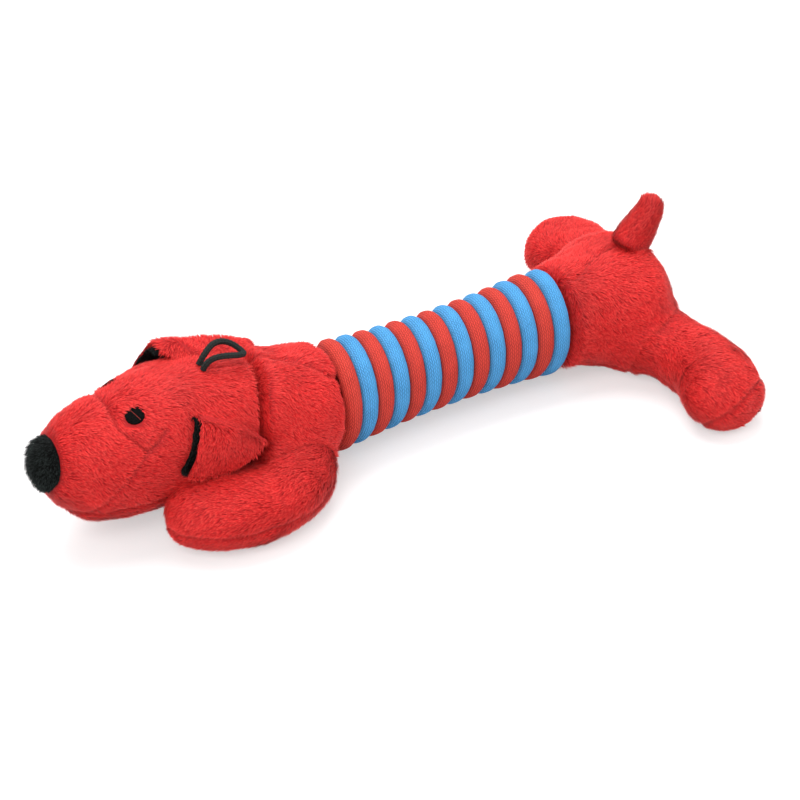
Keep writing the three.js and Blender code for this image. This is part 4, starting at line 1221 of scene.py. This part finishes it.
def eye_place(side):
    """Where an eye sits: behind the muzzle's seam, and the right one a little further out."""
    out = EYE["spread"] / 2 + (EYE["right_out"] if side > 0 else 0)
    return np.array([NOSE_X + MUZZLE_LENGTH + EYE["behind_seam"], side * out, EYE["height"]])


def eye_bald(side):
    """The spot round an eye without pile: (place, reach)."""
    place = eye_place(side) - (EYE_BALD["ahead"], 0, -EYE_BALD["up"])
    return place, EYE["diameter"] / 2 + EYE_BALD["past"]


def crown_seam(points):
    """Distance to the seam along the head's top, from the hang loop back to the neck."""
    on_top = (points[:, 2] > AXIS_HEIGHT) & (points[:, 0] > CROWN_SEAM["front"])
    return np.where(on_top, CROWN_SEAM["narrow"] * (points[:, 1] - CROWN_SEAM["y"]), NOWHERE)


def muzzle_dipped(shell):
    """The muzzle's top lies a little lower behind the nose: by the bell of the distance along it,
    times the height's share above the toy's axis."""
    near = bell(shell.points[:, 0] - MUZZLE_DIP["x"], MUZZLE_DIP["reach"])
    rise_share = (shell.points[:, 2] - AXIS_HEIGHT) / (HEAD["height"] - AXIS_HEIGHT)
    shell.points[:, 2] -= MUZZLE_DIP["depth"] * near * np.clip(rise_share, 0, 1)
    return shell


def make_head():
    """The head's four plush panels, cut from one form along their seams."""
    whole = muzzle_dipped(neck_slanted(head.shell(CLOTH_SPACING)))
    above_chin = above(CHIN_SEAM_HEIGHT)
    upper = whole.kept(above_chin(whole.points))
    seams = lambda p: nearest(above_chin(p), ahead_of_seam(p), cheek_crease(p), crown_seam(p))
    cover = upper.kept(-ahead_of_seam(upper.points))
    stuffed("head_plush", cover, seams, HEAD_LAY, ["head_cover"], NECK_BEND,
            bald=[eye_bald(side) for side, _ in SIDES])
    muzzle = upper.kept(ahead_of_seam(upper.points))
    tip = muzzle.kept(in_nose(muzzle.points))
    muzzle = muzzle.kept(-in_nose(muzzle.points))
    around = lambda p: nearest(above_chin(p), ahead_of_seam(p), in_nose(p))
    stuffed("muzzle_plush", muzzle, around, HEAD_LAY, ["muzzle_cover"], "head")
    stuffed("nose_plush", tip, in_nose, NOSE_LAY, ["nose_patch"], "head", BLACK_PLUSH,
            "plush_black", **NOSE_PILE)
    chin = whole.kept(-above_chin(whole.points))
    stuffed("chin_plush", chin, above_chin, CHIN_LAY, ["chin_panel"], NECK_BEND)


make_head()


def make_eye(side, name):
    """A low black felt disc that follows the head, its top rounded at the rim as the square root
    of 1 less a power of the radius's share. Its stitch is laid across it."""
    rings, sides, rise, sink = (EYE_FELT[key] for key in ("rings", "sides", "rise", "sink"))
    share = np.sin(np.arange(1, rings + 1) / rings * TURN / 4)
    share, angle = np.meshgrid(share, np.arange(sides) / sides * TURN, indexing="ij")
    out = EYE["diameter"] / 2 * share
    flat, normal = patch_on(head, eye_place(side), out * np.cos(angle), out * np.sin(angle))
    level = rise * np.sqrt(1 - share ** EYE_FELT["rim_power"]) - sink
    grid = (flat + level[..., None] * normal).reshape(-1, 3)
    under = flat[-1] - (sink + rise) * normal
    centre = patch_on(head, eye_place(side), np.zeros(1), np.zeros(1))[0][0]
    points = np.concatenate([[centre + (rise - sink) * normal], grid, under, [under.mean(0)]])
    faces = ring_faces(rings + 1, sides, len(points) - 1)
    a, b, c = points[faces[0]]
    if np.cross(b - a, c - a) @ normal < 0:
        faces = faces[:, ::-1]
    new_piece(f"eye_felt_{name}", points, faces, BLACK_FELT, "head", [f"eye_{name}"])
    make_stitch(name, centre, flat.reshape(-1, 3), normal, np.array(mirrored(STITCH_WAY, side)))


def make_stitch(name, centre, flat, normal, way):
    """One stitch of red thread laid slantwise over an eye's felt: a straight line across it that
    follows the felt's level, and dips at both ends as a cosine."""
    way = unit(way - normal * (way @ normal))
    share = np.linspace(-STITCH["reach_share"], STITCH["reach_share"], STITCH["rings"])
    line = centre + (share * EYE["diameter"] / 2)[:, None] * way
    near = ((line[:, None] - flat[None]) ** 2).sum(-1).argmin(1)
    level = (flat[near] - centre) @ normal + EYE_FELT["rise"] - EYE_FELT["sink"]
    lift = level - STITCH["dip"] * (1 - np.cos(share * TURN / 4))
    points, faces, maps = tube(line + lift[:, None] * normal, np.tile(normal, (len(line), 1)),
                               STITCH["radius"], STITCH["sides"])
    new_piece(f"eye_stitch_{name}", points, faces, RED_THREAD, "head", [], maps=maps)


for side, name in SIDES:
    make_eye(side, name)


# Ears

# The way from an ear into the head, how deep its root sinks in, and the stretch given for its bend, which
# no step uses
EAR_INWARD = (0.0, -0.75, -0.65)
EAR_TUCK = 1.6
EAR_BEND = {"out": 14.0, "down": 8.0}
EAR_PULL = {"from": -120.0, "over": 24.0, "back": 16.0, "down": 7.0}
EAR_LAY = (-0.25, 0.5, -1.0)
EAR_PILE = {"nap": 0.9, "length": 2.6}
# The lining lies EAR_SLIVER ahead of the cover, ends LINING_SEAT inside the head, and is left out
# where it is both above LINING_TOP and behind LINING_BACK
EAR_SLIVER = 1.4
LINING_SEAT = 1.0
LINING_TOP = 64.0
LINING_BACK = -118.0
LINING_PILE = {"nap": 0.3, "density": 5.0, "length": 1.6, "fill": 0.3}
# The line where the left ear leaves the head, as (x, z) places from front to back, how far from it
# the ear starts to sink in, and over which height
LEFT_ROOT = [(-130.0, 67.0), (-124.0, 63.5), (-106.0, 53.6), (-101.4, 48.0), (-97.7, 39.4)]
LEFT_ROOT_START, LEFT_ROOT_DEPTH = -6.0, 7.0
# How far out the right ear starts to sink in, and over which width
RIGHT_ROOT, RIGHT_ROOT_WIDTH = 19.0, 5.0
# How far in front of the neck the head's form is taken as ending
NECK_RUN = 8.0
# Soft dents and swells of the ears' covers: (x, out, z), reach, how far outward
EAR_SWELLS = [
    ((-104.0, 28.0, 48.0), 7.5, -2.2), ((-105.0, 31.0, 38.0), 8.0, 1.0), ((-118.0, 28.0, 47.0), 7.0, 0.8),
]


def root_share(points, side):
    """How far points are past the line where an ear leaves the head, from 0 on the flap to 1 above
    the line, as the smooth step 3s^2 - 2s^3. The left ear leaves it low on the cheek, along a line
    that falls backward, and the right one leaves it near the head's top."""
    if side < 0:
        rise = points[:, 2] - np.interp(points[:, 0], *zip(*LEFT_ROOT))
        share = np.clip((rise - LEFT_ROOT_START) / LEFT_ROOT_DEPTH, 0, 1)
    else:
        share = np.clip((RIGHT_ROOT - points[:, 1]) / RIGHT_ROOT_WIDTH, 0, 1)
    return share**2 * (3 - 2 * share)


def off_head(points):
    """How far points lie off the head, whose neck end is taken as running straight on."""
    return head.outside(np.column_stack([np.minimum(points[:, 0], NECK_X - NECK_RUN), points[:, 1:]]))


def pulled_back(points):
    """The right ear lies pulled back over the chest: its back moves back and down as the square of
    the share of its length."""
    share = np.clip((points[:, 0] - EAR_PULL["from"]) / EAR_PULL["over"], 0, 1) ** 2
    return points + share[:, None] * (EAR_PULL["back"], 0, -EAR_PULL["down"])


def rooted(shell, side, thick, below):
    """An ear's layer whose root sinks smoothly into the head, with its dents and swells. Every
    point moves as far as the ear's outer face over it lies off the head: the layer lies `below`
    that face, and the share of its thickness comes from how its own face turns. The root's share
    is that of the cover's middle."""
    points, normals = shell.points, shell.normals()
    inward = unit(np.array(mirrored(EAR_INWARD, side)))
    deeper = thick * (1 + normals @ inward) / 2
    rise = off_head(points) + below + deeper + EAR_TUCK
    middle = points - normals * thick / 2 - inward * (below + (thick - EAR["cover"]) / 2)
    moved = points + (root_share(middle, side) * np.maximum(rise, 0))[:, None] * inward
    for place, reach, height in EAR_SWELLS:
        near = bell(np.linalg.norm(points - mirrored(place, side), axis=-1), reach)
        moved -= (height * near)[:, None] * inward
    return Shell(pulled_back(moved) if side > 0 else moved, shell.faces, shell.cloth)


def make_ear(side, name):
    """Red plush outside and black plush inside. The lining shows at the front edge, and both bend
    where they leave the head."""
    node, thick, thin = f"ear_{name}", EAR["cover"], EAR["lining"]
    x, y, z = NECK_X - EAR["ahead"], EAR["spread"] / 2, EAR["height"]
    bend = ("head", node, mirrored((x, y, z), side),
            mirrored((x, y + EAR_BEND["out"], z - EAR_BEND["down"]), side))
    lay = flowing(*mirrored(EAR_LAY, side))
    far = lambda points: np.full(len(points), NOWHERE)
    cover = ear_form(side, thick, (thin + GAP) / 2, 0.0).shell(CLOTH_SPACING)
    stuffed(f"ear_plush_{name}", rooted(cover, side, thick, 0.0), far, lay, [node], bend, **EAR_PILE)
    lining = ear_form(side, thin, -(thick + GAP) / 2, EAR_SLIVER).shell(CLOTH_SPACING)
    lining = rooted(lining, side, thin, thick + GAP)
    shown = np.maximum(LINING_BACK - lining.points[:, 0], LINING_TOP - lining.points[:, 2])
    lining = lining.kept(np.minimum(off_head(lining.points) + LINING_SEAT, shown))
    stuffed(f"ear_lining_plush_{name}", lining, far, lay, [f"ear_lining_{name}"], bend, BLACK_PLUSH,
            "plush_black", **LINING_PILE)


for side, name in SIDES:
    make_ear(side, name)


# Legs and tail

FRONT_LAY = (-0.95, -0.3, -0.35)
HIND_LAY = (0.7, 0.76, -0.5)
TAIL_LAY = (0.59, 0.2, 0.82)
TAIL_SPACING = 0.9
TAIL_STRANDS = 3.2
HIP_SEAM_HEIGHT = 29.0
# Where each limb's cloth leaves the torso and where it reaches the limb's own body
SHOULDER_BEND = ((-76, 22, 15), (-92, 40, 15))
HIP_BEND = ((104, 24, 20), (106, 52, 20))
TAIL_BEND = ((113, 0, 50), (117, 0, 62))


def make_front_leg(side, name):
    """A front leg's upper panel and sole, which swell toward the chest."""
    body = f"front_leg_{name}"
    whole = FRONT_LEGS[side].shell(CLOTH_SPACING)
    whole = whole.kept(np.minimum(chest.outside(whole.points), head.outside(whole.points)) + LIMB_SEAT)
    whole = joined(whole, chest.outside(whole.points), SHOULDER_FILLET)
    root = lambda points: join_line(chest.outside(points), SHOULDER_FILLET)
    bend = ("torso", body, *(mirrored(end, side) for end in SHOULDER_BEND))
    split(body, whole, above(FRONT_SOLE_SEAM), root, flowing(*mirrored(FRONT_LAY, side)),
          [body, f"front_sole_{name}"], bend)


def make_hind_leg(side, name):
    """A hind leg's upper panel and sole, which swell toward the rump. The sole's seam lies in a slanted
    plane. The hip's seam shows above HIP_SEAM_HEIGHT, and below it the cloth runs on into the rump."""
    body = f"hind_leg_{name}"
    whole = HIND_LEGS[side].shell(CLOTH_SPACING)
    whole = whole.kept(rump.outside(whole.points) + LIMB_SEAT)
    whole = joined(whole, rump.outside(whole.points), hip_reach(whole.points))
    reach_share, back = HIND_PLACES[side]
    behind, out, up = HIND_SEAM_PLACE
    facing = np.array(mirrored(HIND_SEAM_SLANTS, side))
    place = np.array([WINDING_END + behind + back, side * reach_share * out, up])
    seam = lambda points: (place + HIND_SEAM_SHIFT * facing - points) @ facing
    root = lambda points: np.where(points[:, 2] > HIP_SEAM_HEIGHT,
                                   join_line(rump.outside(points), hip_reach(points)), NOWHERE)
    bend = ("torso", body, *(mirrored(end, side) for end in HIP_BEND))
    split(body, whole, seam, root, flowing(*mirrored(HIND_LAY, side)),
          [body, f"hind_sole_{name}"], bend)


def make_tail():
    """The tail, which swells toward the rump."""
    whole = TAIL_STEM.shell(TAIL_SPACING)
    whole = whole.kept(rump.outside(whole.points) + LIMB_SEAT)
    whole = joined(whole, rump.outside(whole.points), TAIL_FILLET)
    root = lambda points: join_line(rump.outside(points), TAIL_FILLET)
    stuffed("tail_plush", whole, root, flowing(*TAIL_LAY), ["tail"], ("torso", "tail", *TAIL_BEND),
            length=TAIL_STRANDS)


for side, name in SIDES:
    make_front_leg(side, name)
for side, name in SIDES:
    make_hind_leg(side, name)
make_tail()


# Floor, backdrop and lamps, in metres and watts

FLOOR_HALF = 6.0
FLOOR_GREY = 0.6
SURROUND_LIGHT = 0.55
SEEN_LIGHT = 0.45
WHITE = (1, 1, 1, 1)
LAMP_AIM = (0, 0, 0.03)
# Each lamp: name, place, size, power
LAMPS = [
    ("key_lamp", (-0.7, -0.6, 0.9), 0.9, 9.0),
    ("side_lamp", (0.9, -0.4, 0.7), 0.9, 4.0),
    ("top_lamp", (0.1, 0.5, 1.2), 1.1, 16.0),
]


def seen_light(tree):
    """SEEN_LIGHT for camera and glossy rays, and none for the rest."""
    rays = add(tree, "ShaderNodeLightPath")
    seen = maths(tree, "MAXIMUM", rays.outputs["Is Camera Ray"], rays.outputs["Is Glossy Ray"])
    return maths(tree, "MULTIPLY", seen, SEEN_LIGHT)


def make_floor():
    """A pale floor that shows near white to the camera and still takes the toy's soft shadow."""
    mesh = bpy.data.meshes.new("floor")
    corners = [(x * FLOOR_HALF, y * FLOOR_HALF, 0) for x, y in ((-1, -1), (1, -1), (1, 1), (-1, 1))]
    mesh.from_pydata(corners, [], [(0, 1, 2, 3)])
    floor = bpy.data.objects.new("floor", mesh)
    bpy.context.scene.collection.objects.link(floor)
    material, tree, shader = new_material("white_floor")
    shader.inputs["Base Color"].default_value = (FLOOR_GREY, FLOOR_GREY, FLOOR_GREY, 1)
    shader.inputs["Roughness"].default_value = 1.0
    shader.inputs["Specular IOR Level"].default_value = 0.0
    tree.links.new(seen_light(tree), shader.inputs["Emission Strength"])
    shader.inputs["Emission Color"].default_value = WHITE
    mesh.materials.append(material)


def make_world():
    """An even pale surround for the light, and white where a camera or glossy ray meets it."""
    world = bpy.data.worlds.new("surround")
    bpy.context.scene.world = world
    world.use_nodes = True
    tree = world.node_tree
    back = tree.nodes["Background"]
    back.inputs["Color"].default_value = WHITE
    strength = maths(tree, "ADD", seen_light(tree), SURROUND_LIGHT)
    tree.links.new(strength, back.inputs["Strength"])


def make_lamp(name, place, size, power):
    """A soft square lamp that faces the toy's middle."""
    data = bpy.data.lights.new(name, "AREA")
    data.size, data.energy = size, power
    lamp = bpy.data.objects.new(name, data)
    lamp.location = place
    lamp.rotation_euler = (Vector(LAMP_AIM) - Vector(place)).to_track_quat("-Z", "Y").to_euler()
    bpy.context.scene.collection.objects.link(lamp)


make_floor()
make_world()
for lamp in LAMPS:
    make_lamp(*lamp)
bpy.context.scene.view_settings.view_transform = "Standard"
